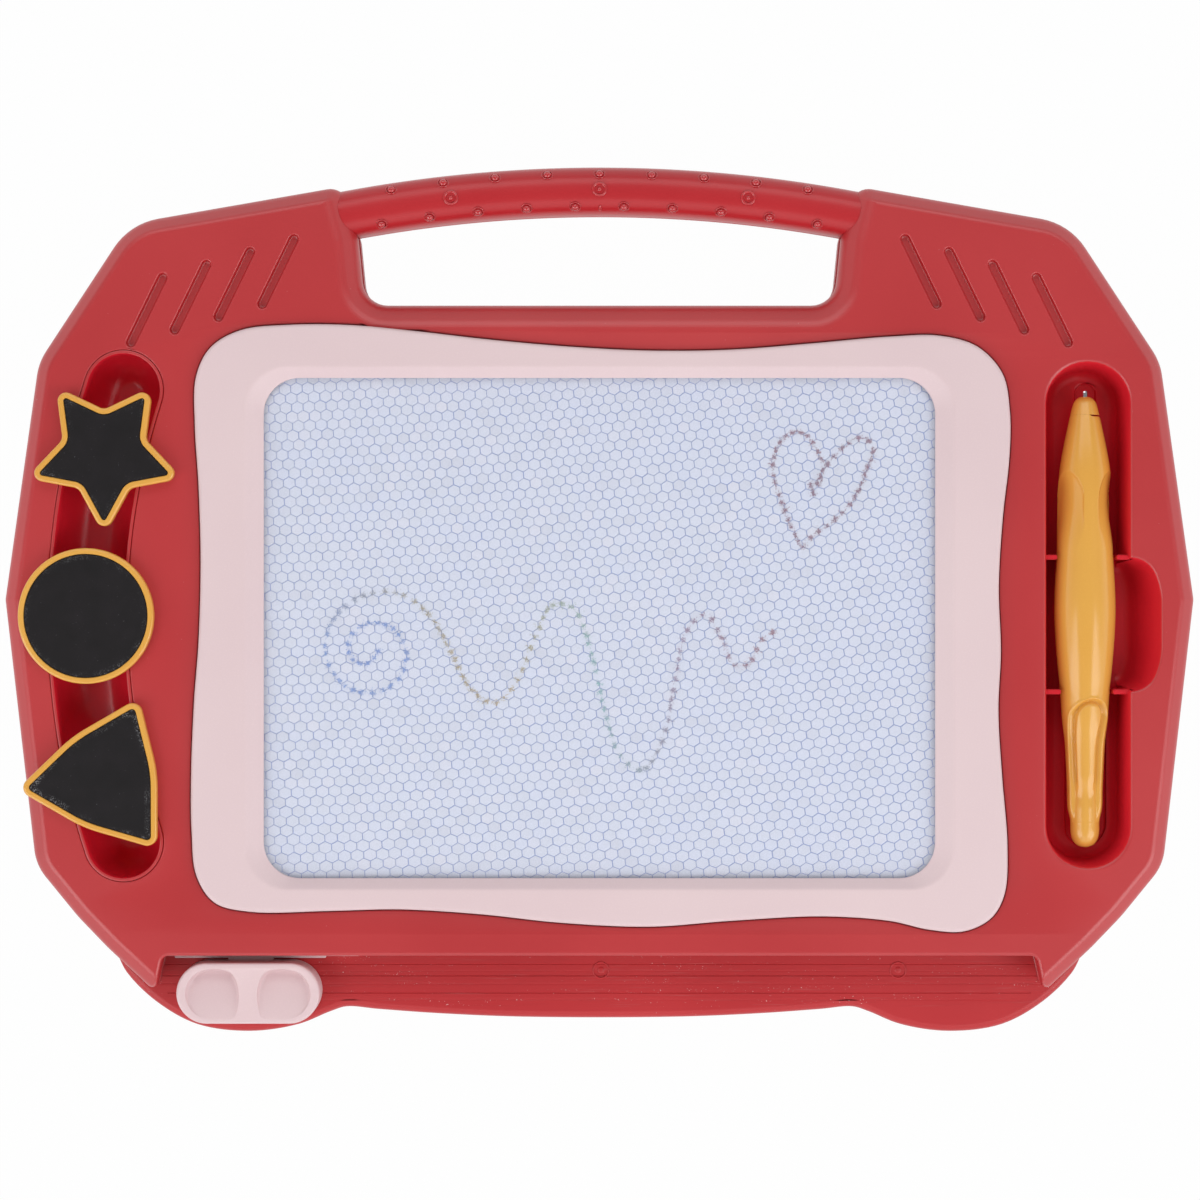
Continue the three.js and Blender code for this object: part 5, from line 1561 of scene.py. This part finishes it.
# %% The pen's skin
def pen_rings(skin, start, end, lean=0.0):
    """Rings along the pen, closely spaced where the scoops begin and along the collar."""
    places = [p.x for p in pen_curve if not any(low < p.x < high for low, high in fine_rows)]
    for low, high in fine_rows:
        places += [low + FINE_ROW * i for i in range(int((high - low) / FINE_ROW) + 1)]
    first = start + max(2 * lean, HOLD / 2)
    places = [start] + sorted(x for x in places if first < x < end - HOLD / 2) + [end]
    rings = []
    for place in places:
        row = between(pen_curve, place, end)[0]
        loop = []
        for i in range(PEN_SIDES):
            angle = 2 * math.pi * i / PEN_SIDES
            radius = pen_surface(row.x, row.y, angle)
            gap = lean * min(max(math.cos(angle) - 0.15, 0) * 4, 1) if place == start else 0
            loop.append(Vector((
                pen_x + radius * math.cos(angle), pen_back - row.x - gap, pen_z + radius * math.sin(angle),
            )))
        rings.append(skin.loop(loop))
    skin.strip(rings)
    skin.cap(rings)


def make_pen():
    for name, start, end, lean, replaced in (
        ("pen_barrel_skin", PEN_NOSE, PEN_LENGTH, PEN_SEAM, "pen_barrel"),
        ("pen_nose_skin", 0, PEN_NOSE - NOSE_GAP, 0, "pen_nose"),
    ):
        skin = Skin()
        pen_rings(skin, start, end, lean)
        made(name, skin, [toy_yellow], "pen", [replaced], "toy_yellow")


make_pen()

# %% [markdown]
# ## The stamps
# A stamp is a yellow body with a rounded rim round a sunken magnet, and a grip below that hangs in the tray.
# Star, disc and bulging triangle share one function that is given an outline.

# %% Stamp sizes
STAMP_RIM = 1.9 * MM
STAMP_ROUND = 0.75 * MM
STAMP_GRIP_RADIUS = 6.2 * MM
STAMP_GRIP_WAIST = 4.6 * MM
STAMP_GRIP_LENGTH = 14.2 * MM
RIM_SAG = 0.05 * MM
RIM_BREAK = 0.3 * MM
FACE_ROUND = 0.25 * MM
FACE_BREAK = 0.08 * MM
STAR_REACHES = (26.8 * MM, 14.2 * MM)
STAR_RADII = [2.8 * MM, 3.4 * MM]
TRIANGLE_TURN = math.radians(67)
TRIANGLE_REACHES = (28.6 * MM, 17.3 * MM)
TRIANGLE_RADII = [3.2 * MM, 45 * MM]
ROUND_RADIUS = 22.1 * MM
MAGNET_GAP = 0.12 * MM
WORN_RIM = 2.2 * MM
WORN_CORNER = 0.72
WORN_FLOOR = 0.12


# %% Stamp outlines
def pointed(count, turn, reaches, radii, inset):
    """A rounded outline whose corners lie at two distances from the middle, one after the other."""
    angles = [math.pi * i / count + turn for i in range(2 * count)]
    corners = [Matrix.Rotation(angle, 2) @ Vector((reaches[i % 2], 0)) for i, angle in enumerate(angles)]
    return ring_of(corners, radii * count, [inset] * len(corners))


def star_outline(inset):
    return pointed(5, -math.pi / 2, STAR_REACHES, STAR_RADII, inset)


def triangle_outline(inset):
    return pointed(3, TRIANGLE_TURN, TRIANGLE_REACHES, TRIANGLE_RADII, inset)


def round_outline(inset):
    return disc(0, 0, ROUND_RADIUS - inset, 96)


# %% Stamp bodies and faces
def make_stamp(name, shape, worn):
    low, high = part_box(f"{name}_body")
    sheet_low, sheet_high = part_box(f"{name}_magnet")
    plate_low = shell_top + SEAT_GAP
    bare = shape(0)
    middles = [(min(p[k] for p in bare) + max(p[k] for p in bare)) / 2 for k in (0, 1)]
    shift = Vector([(low[k] + high[k]) / 2 - middles[k] for k in (0, 1)])
    outline = lambda inset: [p + shift for p in shape(inset)]
    body = Skin()
    profile = [(STAMP_ROUND + HOLD, plate_low)]
    profile += reversed(fillet((0, plate_low), (0, plate_low + STAMP_ROUND), (STAMP_ROUND, plate_low)))
    profile += fillet((0, high.z), (0, high.z - STAMP_ROUND), (STAMP_ROUND, high.z))
    profile += [(STAMP_ROUND + HOLD, high.z), (STAMP_RIM - HOLD, high.z - RIM_SAG)]
    profile += [(STAMP_RIM, high.z - RIM_BREAK), (STAMP_RIM, sheet_low.z - SEAT_GAP)]
    rings = body.sweep(outline, profile)
    body.fill(rings[-1])
    grip = lambda inset: disc(shift.x, shift.y, STAMP_GRIP_RADIUS - inset, 40)
    waist = STAMP_GRIP_RADIUS - STAMP_GRIP_WAIST
    stem = body.sweep(grip, [
        (0, plate_low), (waist * 0.6, plate_low - 1.2 * MM), (waist, plate_low - 3 * MM),
        (waist, plate_low - STAMP_GRIP_LENGTH / 2), (waist * 0.3, plate_low - STAMP_GRIP_LENGTH * 0.85),
        (0, plate_low - STAMP_GRIP_LENGTH + MM), (0.4 * MM, plate_low - STAMP_GRIP_LENGTH + 0.2 * MM),
        (MM, plate_low - STAMP_GRIP_LENGTH),
    ])
    body.fill(rings[0], [stem[0]])
    body.fill(stem[-1])
    made(f"{name}_skin", body, [toy_yellow], name, [f"{name}_body"], "toy_yellow")
    face = Skin()
    edge = STAMP_RIM + MAGNET_GAP
    sheet = face.sweep(lambda inset: outline(edge + inset), [
        (0, sheet_low.z), (0, sheet_high.z - FACE_ROUND), (FACE_BREAK, sheet_high.z - FACE_BREAK),
        (FACE_ROUND, sheet_high.z), (FACE_ROUND + HOLD, sheet_high.z), (WORN_RIM, sheet_high.z),
    ])
    reach = max((p - shift).length for p in outline(edge))
    for ring in sheet[:-1]:
        for i in ring:
            spread = (face.points[i].to_2d() - shift).length / reach
            towards_corner = eased((spread - WORN_CORNER) / (1 - WORN_CORNER))
            face.worn[i] = worn * (WORN_FLOOR + (1 - WORN_FLOOR) * towards_corner)
    face.cap(sheet)
    made(f"{name}_face", face, [magnet_black], name, [f"{name}_magnet"], "magnet_black")


stamp_shapes = ((star_outline, 0.3), (round_outline, 0.25), (triangle_outline, 1.0))
for stamp, (shape, worn) in zip(stamp_names, stamp_shapes):
    make_stamp(stamp, shape, worn)

# %% [markdown]
# ## The screen
# Behind the clear film lies a sheet of small six-sided cells. Geometry Nodes lay thousands of low tiles on a
# plate: a grid whose odd rows are shifted by half a cell, and whose rows climb a little to the right. Each
# tile is a little off its place and has a shade of its own. The plate shows between them as thin blue walls.

# %% Screen finishes
def make_cell_material():
    """Milky cells. Each has its own shade, and a cloudy fill."""
    material, web, place = new_finish("screen_white")
    shades = [
        (0, linear(207, 212, 228)), (0.12, linear(211, 217, 233)), (0.5, linear(214, 220, 236)),
        (0.8, linear(211, 218, 237)), (1, linear(218, 221, 235)),
    ]
    shade = web.node("ShaderNodeValToRGB", {"stops": shades}, {0: attribute(web, "shade")})
    cloud = noise(web, place, 1 / (0.7 * MM), 2)
    broad = noise(web, place, 1 / (60 * MM), 2)
    colour = mixed(web, (cloud - 0.45) * 0.8, shade, linear(221, 224, 236))
    colour = mixed(web, (broad - 0.45) * 0.8, colour, linear(207, 215, 237))
    pit = (noise(web, place, 1 / (0.5 * MM), 1) - 0.64) * 2
    surface(web, mixed(web, pit, colour, linear(186, 193, 218)), 0.5)
    return material


def make_wall_material():
    """The thin blue walls between the cells."""
    material, web, place = new_finish("cell_wall")
    patch = noise(web, place, 1 / (9 * MM), 2)
    colour = mixed(web, patch, linear(138, 158, 216), linear(160, 174, 220))
    surface(web, colour, 0.6)
    return material


def make_film_material():
    """A clear sheet that only adds a faint haze and a sheen."""
    material, web, place = new_finish("screen_film")
    haze = noise(web, place, 1 / (40 * MM), 2)
    surface(web, mixed(web, haze, (0.86, 0.88, 0.95), (0.95, 0.95, 0.97)), haze * 0.1 + 0.12, Alpha=0.1)
    return material


screen_white = make_cell_material()
cell_wall = make_wall_material()
screen_film = make_film_material()

# %% The lattice of cells
CELL = 3.96 * MM
CELL_ROW = 3.07 * MM
CELL_ROWS = 40
CELL_COLUMNS = 38
CELL_SQUASH = 0.9
CELL_TOP_SHARE = 0.975
CELL_GAP = 0.21 * MM
CELL_JITTER = 0.05 * MM
CELL_RISE = 0.22 * MM
CELL_LEAN = 0.11
CELL_BEND = 0.00064 / MM
TILE_MARGIN = 2.4 * MM
comb_low, comb_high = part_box("screen_honeycomb")
comb_middle = (comb_high + comb_low) / 2
comb_half = (comb_high - comb_low) / 2
plate_top = comb_high.z - CELL_RISE


def cell_lean(x):
    """The rows climb to the right, and more so towards the right end."""
    return CELL_LEAN + CELL_BEND * x


def cell_centres():
    """Centres of the cells: a bent grid whose odd rows are shifted by half a cell."""
    chance = random.Random(11)
    centres = []
    for row in range(-CELL_ROWS, CELL_ROWS + 1):
        for column in range(-CELL_COLUMNS, CELL_COLUMNS + 1):
            x = (column + row % 2 / 2) * CELL
            y = row * CELL_ROW
            lean = cell_lean(x)
            across = x - y * lean + chance.uniform(-CELL_JITTER, CELL_JITTER)
            along = y + (CELL_LEAN + CELL_BEND * x / 2) * x + chance.uniform(-CELL_JITTER, CELL_JITTER)
            inside = abs(across) < comb_half.x - TILE_MARGIN and abs(along) < comb_half.y - TILE_MARGIN
            if inside:
                centre = Vector((across + comb_middle.x, along + comb_middle.y, 0))
                centres.append((centre, lean, 1 - y * CELL_BEND))
    return centres


cells = cell_centres()
cell_tree = KDTree(len(cells))
for i, (centre, lean, width) in enumerate(cells):
    cell_tree.insert(centre, i)
cell_tree.balance()
print("cells:", len(cells))

# %% Tiles by Geometry Nodes
def tile_tree():
    web, given = new_tree("cell_tiles", ("Radius", "Rise", "Top Share", "Squash"))
    tile = web.node("GeometryNodeMeshCone", {"fill_type": "NGON"}, {
        "Vertices": 6, "Radius Bottom": given["Radius"], "Radius Top": given["Radius"] * given["Top Share"],
        "Depth": given["Rise"],
    })
    upright = web.node("GeometryNodeTransform", None, {"Geometry": tile, "Rotation": (0, 0, math.pi / 6)})
    scale = web.node("ShaderNodeCombineXYZ", None, {"X": 1.0, "Y": given["Squash"], "Z": 1.0})
    squashed = web.node("GeometryNodeTransform", None, {"Geometry": upright, "Scale": scale})
    turn = web.node("ShaderNodeCombineXYZ", None, {"Z": stored(web, "lean")})
    stretch = web.node("ShaderNodeCombineXYZ", None, {"X": stored(web, "width"), "Y": 1.0, "Z": 1.0})
    return stood(web, given, squashed, Rotation=turn, Scale=stretch)


chance = random.Random(5)
tile_points = scattered(
    "screen_cells", [(centre.x, centre.y, plate_top) for centre, lean, width in cells],
    lean=[lean for centre, lean, width in cells], width=[width for centre, lean, width in cells],
    shade=[chance.random() for cell in cells],
)
grown(tile_points, tile_tree(), {
    "Radius": (CELL - CELL_GAP) / math.sqrt(3), "Rise": CELL_RISE, "Top Share": CELL_TOP_SHARE,
    "Squash": CELL_SQUASH, "Material": screen_white,
}, "housing", ["screen_honeycomb"])


def make_comb_plate():
    skin = Skin()
    edges = rectangle(comb_low.x, comb_high.x, comb_low.y, comb_high.y)
    profile = [(0, comb_low.z), (0, plate_top - HOLD / 2), (HOLD / 2, plate_top)]
    skin.cap(skin.sweep(lambda inset: moved(edges, [inset] * 4), profile))
    made("screen_plate", skin, [cell_wall], "housing", ["screen_honeycomb"], "screen_white")


make_comb_plate()

# %% [markdown]
# ## The drawing
# A magnetised tip pulls dark powder up inside the cells, where it clings to the walls that the line crosses.
# So the line is not drawn as a line. Grains are strewn along it, thickly where it crosses a wall and thinly
# inside a cell, and Geometry Nodes put a tiny crystal on each. The design is a curl that runs out into a
# wave, and a heart.

# %% Drawing lines
curl_places = [
    (-72.5, -16.5), (-76, -20.5), (-81, -19), (-82, -12.5), (-76.5, -7.5), (-68.5, -8.5), (-63.5, -15.5),
    (-65, -24.5), (-73, -30), (-83, -28), (-89.5, -19), (-88, -7.5), (-79, 1), (-66, 2.5), (-55.5, -5),
    (-48.5, -17), (-42, -29), (-34.5, -33.5), (-27.5, -27), (-21.5, -13), (-15.5, -1.5), (-8.5, -2.5),
    (-3, -16), (1.5, -35), (7, -51), (14, -55.5), (20.5, -46), (24.5, -28), (28.5, -10), (34.5, -4.5),
    (40, -12), (44, -21), (49, -20.5), (53, -13), (57.5, -10),
]
heart_places = [
    (70, 35.2), (69.3, 38.2), (72.3, 38.6), (72.4, 41.4), (74.8, 44.8), (78.8, 49.4), (84.7, 53.3),
    (88.4, 52.2), (89.6, 48.7), (87.3, 42.5), (84.7, 35.7), (80.1, 29.4), (74.8, 24.8), (69, 20.6),
    (66.3, 17.6), (64.7, 20.6), (62.1, 25.8), (59.8, 32.1), (57.2, 39.5), (56.8, 45.5), (58.8, 51.5),
    (62.8, 54.9), (67, 54.8), (70.4, 50.8), (72.8, 46),
]
curl_colours = [
    (0, linear(112, 150, 222)), (0.3, linear(120, 156, 220)), (0.4, linear(176, 168, 148)),
    (0.52, linear(190, 168, 124)), (0.66, linear(138, 188, 194)), (0.8, linear(160, 140, 172)),
    (1, linear(156, 106, 128)),
]
heart_colours = [(0, linear(138, 96, 128)), (1, linear(150, 106, 132))]


# %% Powder
def powder_material(name, stops):
    """Dark powder whose colour runs along the line, a little apart from grain to grain."""
    material, web, place = new_finish(name)
    colour = web.node("ShaderNodeValToRGB", {"stops": stops}, {0: attribute(web, "along")})
    grainy = noise(web, place, 1 / (0.4 * MM), 1)
    surface(web, mixed(web, (grainy - 0.4) * 0.5, colour, (0.75, 0.76, 0.85)), 0.9)
    return material


# %% Grains along a line
CLUMP_LENGTH = 0.55 * MM
CLUMP_WIDTH = 0.42 * MM
WALL_SPREAD = 0.75 * MM
WALL_THICKNESS = 0.16 * MM
WALL_SHARE = 0.35
HAZE_SPREAD = 0.6 * MM
HAZE_SHARE = 0.006
LEAST_STEP = 2.6 * MM


def strewn(places, seed, amount):
    """Grains along a smooth line: a clump wherever it passes from one cell to the next, and a thin haze."""
    chance = random.Random(seed)
    line = flowing([Vector(p) * MM for p in places], 40, closed=False)
    spots, shares = [], []
    cell = None
    last = LEAST_STEP
    for i, (a, b) in enumerate(zip(line, line[1:])):
        heading = (b - a).normalized()
        last += (b - a).length
        near = cell_tree.find_n((a.x, a.y, 0), 2)
        grains = [(chance.gauss(0, HAZE_SPREAD), chance.gauss(0, HAZE_SPREAD / 2), heading)
                  for k in range(int(chance.random() + amount * HAZE_SHARE))]
        if near[0][1] != cell and last >= LEAST_STEP:
            cell = near[0][1]
            strength = amount * chance.uniform(0.5, 1.3)
            last = 0
            apart = (near[1][0] - near[0][0]).to_2d().normalized()
            lean = (heading + apart * chance.uniform(-0.5, 0.5)).normalized()
            grains += [(chance.gauss(0, CLUMP_LENGTH), chance.gauss(0, CLUMP_WIDTH), lean)
                       for k in range(int(strength))]
            grains += [(chance.gauss(0, WALL_SPREAD), chance.gauss(0, WALL_THICKNESS), apart.orthogonal())
                       for k in range(int(strength * WALL_SHARE))]
        for length, width, way in grains:
            spots.append(a + way * length + way.orthogonal() * width)
            shares.append(i / len(line))
    return spots, shares


# %% Powder by Geometry Nodes
GRAIN = 0.12 * MM
POWDER_ROOM = 0.12 * MM


def powder_tree():
    web, given = new_tree("powder", ["Grain"], [("Seed", "Int")])
    crystal = web.node("GeometryNodeMeshUVSphere", None, {
        "Segments": 4, "Rings": 2, "Radius": given["Grain"],
    })
    flat = web.node("GeometryNodeTransform", None, {"Geometry": crystal, "Scale": (1.5, 0.8, 0.5)})
    turn = web.node("FunctionNodeRandomValue", {"data_type": "FLOAT_VECTOR"}, {
        0: (0, 0, 0), 1: (0, 0, 2 * math.pi), "Seed": given["Seed"],
    })
    size = web.node("FunctionNodeRandomValue", {"data_type": "FLOAT"}, {
        2: 0.55, 3: 1.5, "Seed": given["Seed"],
    }, 1)
    return stood(web, given, flat, Rotation=turn, Scale=size)


powder = powder_tree()
powder_level = comb_high.z + POWDER_ROOM
for name, places, seed, amount, stops in (
    ("drawn_curl", curl_places, 21, 50, curl_colours), ("drawn_heart", heart_places, 8, 58, heart_colours),
):
    spots, shares = strewn(places, seed, amount)
    grains = scattered(name, [(p.x, p.y, powder_level) for p in spots], along=shares)
    finish = powder_material(f"{name}_powder", stops)
    grown(grains, powder, {"Grain": GRAIN, "Seed": seed, "Material": finish}, "housing", ())
    print(name, len(spots), "grains")

# %% [markdown]
# ## Screws
# Eight screws close the housing and three close the grip, all from behind. One Geometry Nodes tree makes the
# screw, with its cross recess cut by a boolean, and stands one at each place.

# %% Screws by Geometry Nodes
SCREW_HEAD_RADIUS = 2.9 * MM
SCREW_HEAD_HEIGHT = 2 * MM
SCREW_SHANK_RADIUS = 1.3 * MM
SCREW_SHANK_LENGTH = 9 * MM
SHANK_OVERLAP = 0.1 * MM
RECESS_LENGTH = 3.4 * MM
RECESS_WIDTH = 0.9 * MM
RECESS_DEPTH = 1.2 * MM


def screw_tree():
    numbers = ("Head Radius", "Head Height", "Shank Radius", "Shank Length")
    web, given = new_tree("screws", numbers, [("Recess Size", "Vector")])

    def raised(geometry, height):
        lift = web.node("ShaderNodeCombineXYZ", None, {"Z": height})
        return web.node("GeometryNodeTransform", None, {"Geometry": geometry, "Translation": lift})

    dome = web.node("GeometryNodeMeshCone", {"fill_type": "NGON"}, {
        "Vertices": 32, "Radius Bottom": given["Head Radius"] * 0.82, "Radius Top": given["Head Radius"],
        "Depth": given["Head Height"] / 4,
    })
    head = web.node("GeometryNodeMeshCylinder", {"fill_type": "NGON"}, {
        "Vertices": 32, "Radius": given["Head Radius"], "Depth": given["Head Height"] * 3 / 4,
    })
    shank = web.node("GeometryNodeMeshCylinder", {"fill_type": "NGON"}, {
        "Vertices": 16, "Radius": given["Shank Radius"], "Depth": given["Shank Length"],
    })
    first = web.node("GeometryNodeMeshCube", None, {"Size": given["Recess Size"]})
    second = web.node("GeometryNodeTransform", None, {"Geometry": first, "Rotation": (0, 0, math.pi / 2)})
    head = raised(head, given["Head Height"] * 5 / 8)
    shank = raised(shank, given["Head Height"] + given["Shank Length"] / 2 - SHANK_OVERLAP)
    union = ("GeometryNodeMeshBoolean", "Mesh 2", {"operation": "UNION"})
    screw = web.node("GeometryNodeMeshBoolean", {"operation": "DIFFERENCE"}, {
        "Mesh 1": joined(web, [dome, head, shank], *union), "Mesh 2": joined(web, [first, second], *union),
    })
    turn = web.node("FunctionNodeRandomValue", {"data_type": "FLOAT_VECTOR"}, {
        0: (0, 0, 0), 1: (0, 0, math.pi / 2), "Seed": 4,
    })
    return stood(web, given, screw, Rotation=turn)


screw_nodes = sorted(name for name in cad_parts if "_screw_" in name)
screw_feet = [(*middle_of(name).xy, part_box(name)[0].z) for name in screw_nodes]
recess = Vector((RECESS_LENGTH, RECESS_WIDTH, 2 * RECESS_DEPTH))
grown(scattered("screws", screw_feet), screw_tree(), {
    "Head Radius": SCREW_HEAD_RADIUS, "Head Height": SCREW_HEAD_HEIGHT, "Shank Radius": SCREW_SHANK_RADIUS,
    "Shank Length": SCREW_SHANK_LENGTH, "Recess Size": recess, "Material": screw_steel,
}, "housing", screw_nodes, math.radians(30))

# %% [markdown]
# ## Parts kept from the model
# The film, the sheets behind the screen, the eraser's carrier and magnet and the pen's steel tip keep their
# meshes. They only need a finish.

# %% Finishes on the model's own parts
kept_finishes = {
    "screen_clear_film": screen_film, "screen_back_sheet": backing_grey, "screen_foam_tape": foam_white,
    "eraser_carrier": eraser_pink, "eraser_magnet": magnet_black, "pen_tip_magnet": tip_steel,
}
for node, material in kept_finishes.items():
    mesh = bpy.data.objects[node].data
    mesh.materials.clear()
    mesh.materials.append(material)
print("kept parts:", len(kept_finishes))

# %% [markdown]
# ## Camera, light and floor
# The photograph looks straight down from about a metre. Four large soft lights stand round the board, and
# the room is bright near the horizon and dim overhead, which draws pale rims on the glossy plastic. The floor
# is white to the camera and in reflections, but dull to the light, so it keeps a soft shadow.

# %% Camera
CAMERA_HEIGHT = 1050 * MM
SENSOR = 36
FRAME_WIDTH = 396 * MM
FRAME_LEVEL = 13 * MM
CAMERA_X = 0.165 * MM
CAMERA_Y = 0.285 * MM
camera = bpy.data.objects.new("camera", bpy.data.cameras.new("camera"))
bpy.context.scene.collection.objects.link(camera)
camera.location = (CAMERA_X, CAMERA_Y, CAMERA_HEIGHT)
camera.data.sensor_width = SENSOR
camera.data.lens = SENSOR * (CAMERA_HEIGHT - FRAME_LEVEL) / FRAME_WIDTH
camera.data.clip_start = 0.01
bpy.context.scene.camera = camera
print(f"lens {camera.data.lens:.2f} mm")

# %% Lights
def area_light(name, place, size, power):
    lamp = bpy.data.lights.new(name, "AREA")
    lamp.shape = "RECTANGLE"
    lamp.size, lamp.size_y = size
    lamp.energy = power
    light = link(name, lamp)
    light.location = place
    light.rotation_euler = (-Vector(place)).to_track_quat("-Z", "Y").to_euler()


def either_ray(web, *kinds):
    """1 for a ray of either of two kinds."""
    path = web.tree.nodes.new("ShaderNodeLightPath")
    first, second = (Wire(web, path.outputs[f"Is {kind} Ray"]) for kind in kinds)
    return first.math("MAXIMUM", first, second)


area_light("left_softbox", (-0.88, -0.5, 0.78), (0.7, 1.0), 5.5)
area_light("right_softbox", (0.88, -0.5, 0.78), (0.7, 1.0), 6.3)
area_light("front_softbox", (0, -0.95, 0.95), (1.6, 0.8), 3.2)
area_light("back_softbox", (0, 0.85, 1.0), (1.5, 0.6), 4.5)
print("soft lights:", len(bpy.data.lights))

# %% The room
RING_LEVEL = 1.0
ZENITH_LEVEL = 0.25
ZENITH_START, ZENITH_END = 0.15, 0.65
world = bpy.data.worlds.new("studio")
bpy.context.scene.world = world
world.use_nodes = True
sky = Web(world.node_tree)
shown = either_ray(sky, "Camera", "Transmission")
direction = sky.node("ShaderNodeTexCoord", output="Generated")
rise = sky.node("ShaderNodeSeparateXYZ", None, {0: direction}, 2)
level = sky.node("ShaderNodeMapRange", {"interpolation_type": "SMOOTHSTEP"}, {
    "Value": rise, "From Min": ZENITH_START, "From Max": ZENITH_END,
    "To Min": RING_LEVEL, "To Max": ZENITH_LEVEL,
})
background = sky.node("ShaderNodeBackground", None, {
    "Color": (1, 1, 1, 1), "Strength": shown * (1 - level) + level,
})
sky.node("ShaderNodeOutputWorld", None, {"Surface": background})

# %% Floor
FLOOR_HALF_SIZE = 3
FLOOR_DROP = 0.1 * MM
FLOOR_GREY = 0.42
FLOOR_GLOW = 0.985
floor_mesh = bpy.data.meshes.new("floor")
floor_corners = rectangle(-FLOOR_HALF_SIZE, FLOOR_HALF_SIZE, -FLOOR_HALF_SIZE, FLOOR_HALF_SIZE)
floor_mesh.from_pydata([(p.x, p.y, -FLOOR_DROP) for p in floor_corners], [], [(0, 1, 2, 3)])
floor = link("floor", floor_mesh)
floor_finish, web = new_material("floor_white")
bright = either_ray(web, "Camera", "Glossy")
matte = web.node("ShaderNodeBsdfDiffuse", None, {"Color": (FLOOR_GREY, FLOOR_GREY, FLOOR_GREY, 1)})
glow = web.node("ShaderNodeEmission", None, {"Color": (1, 1, 1, 1), "Strength": 1.0})
mix = web.node("ShaderNodeMixShader", None, {0: bright * FLOOR_GLOW, 1: matte, 2: glow})
web.node("ShaderNodeOutputMaterial", None, {"Surface": mix})
floor.data.materials.append(floor_finish)
bpy.context.scene.view_settings.view_transform = "Standard"
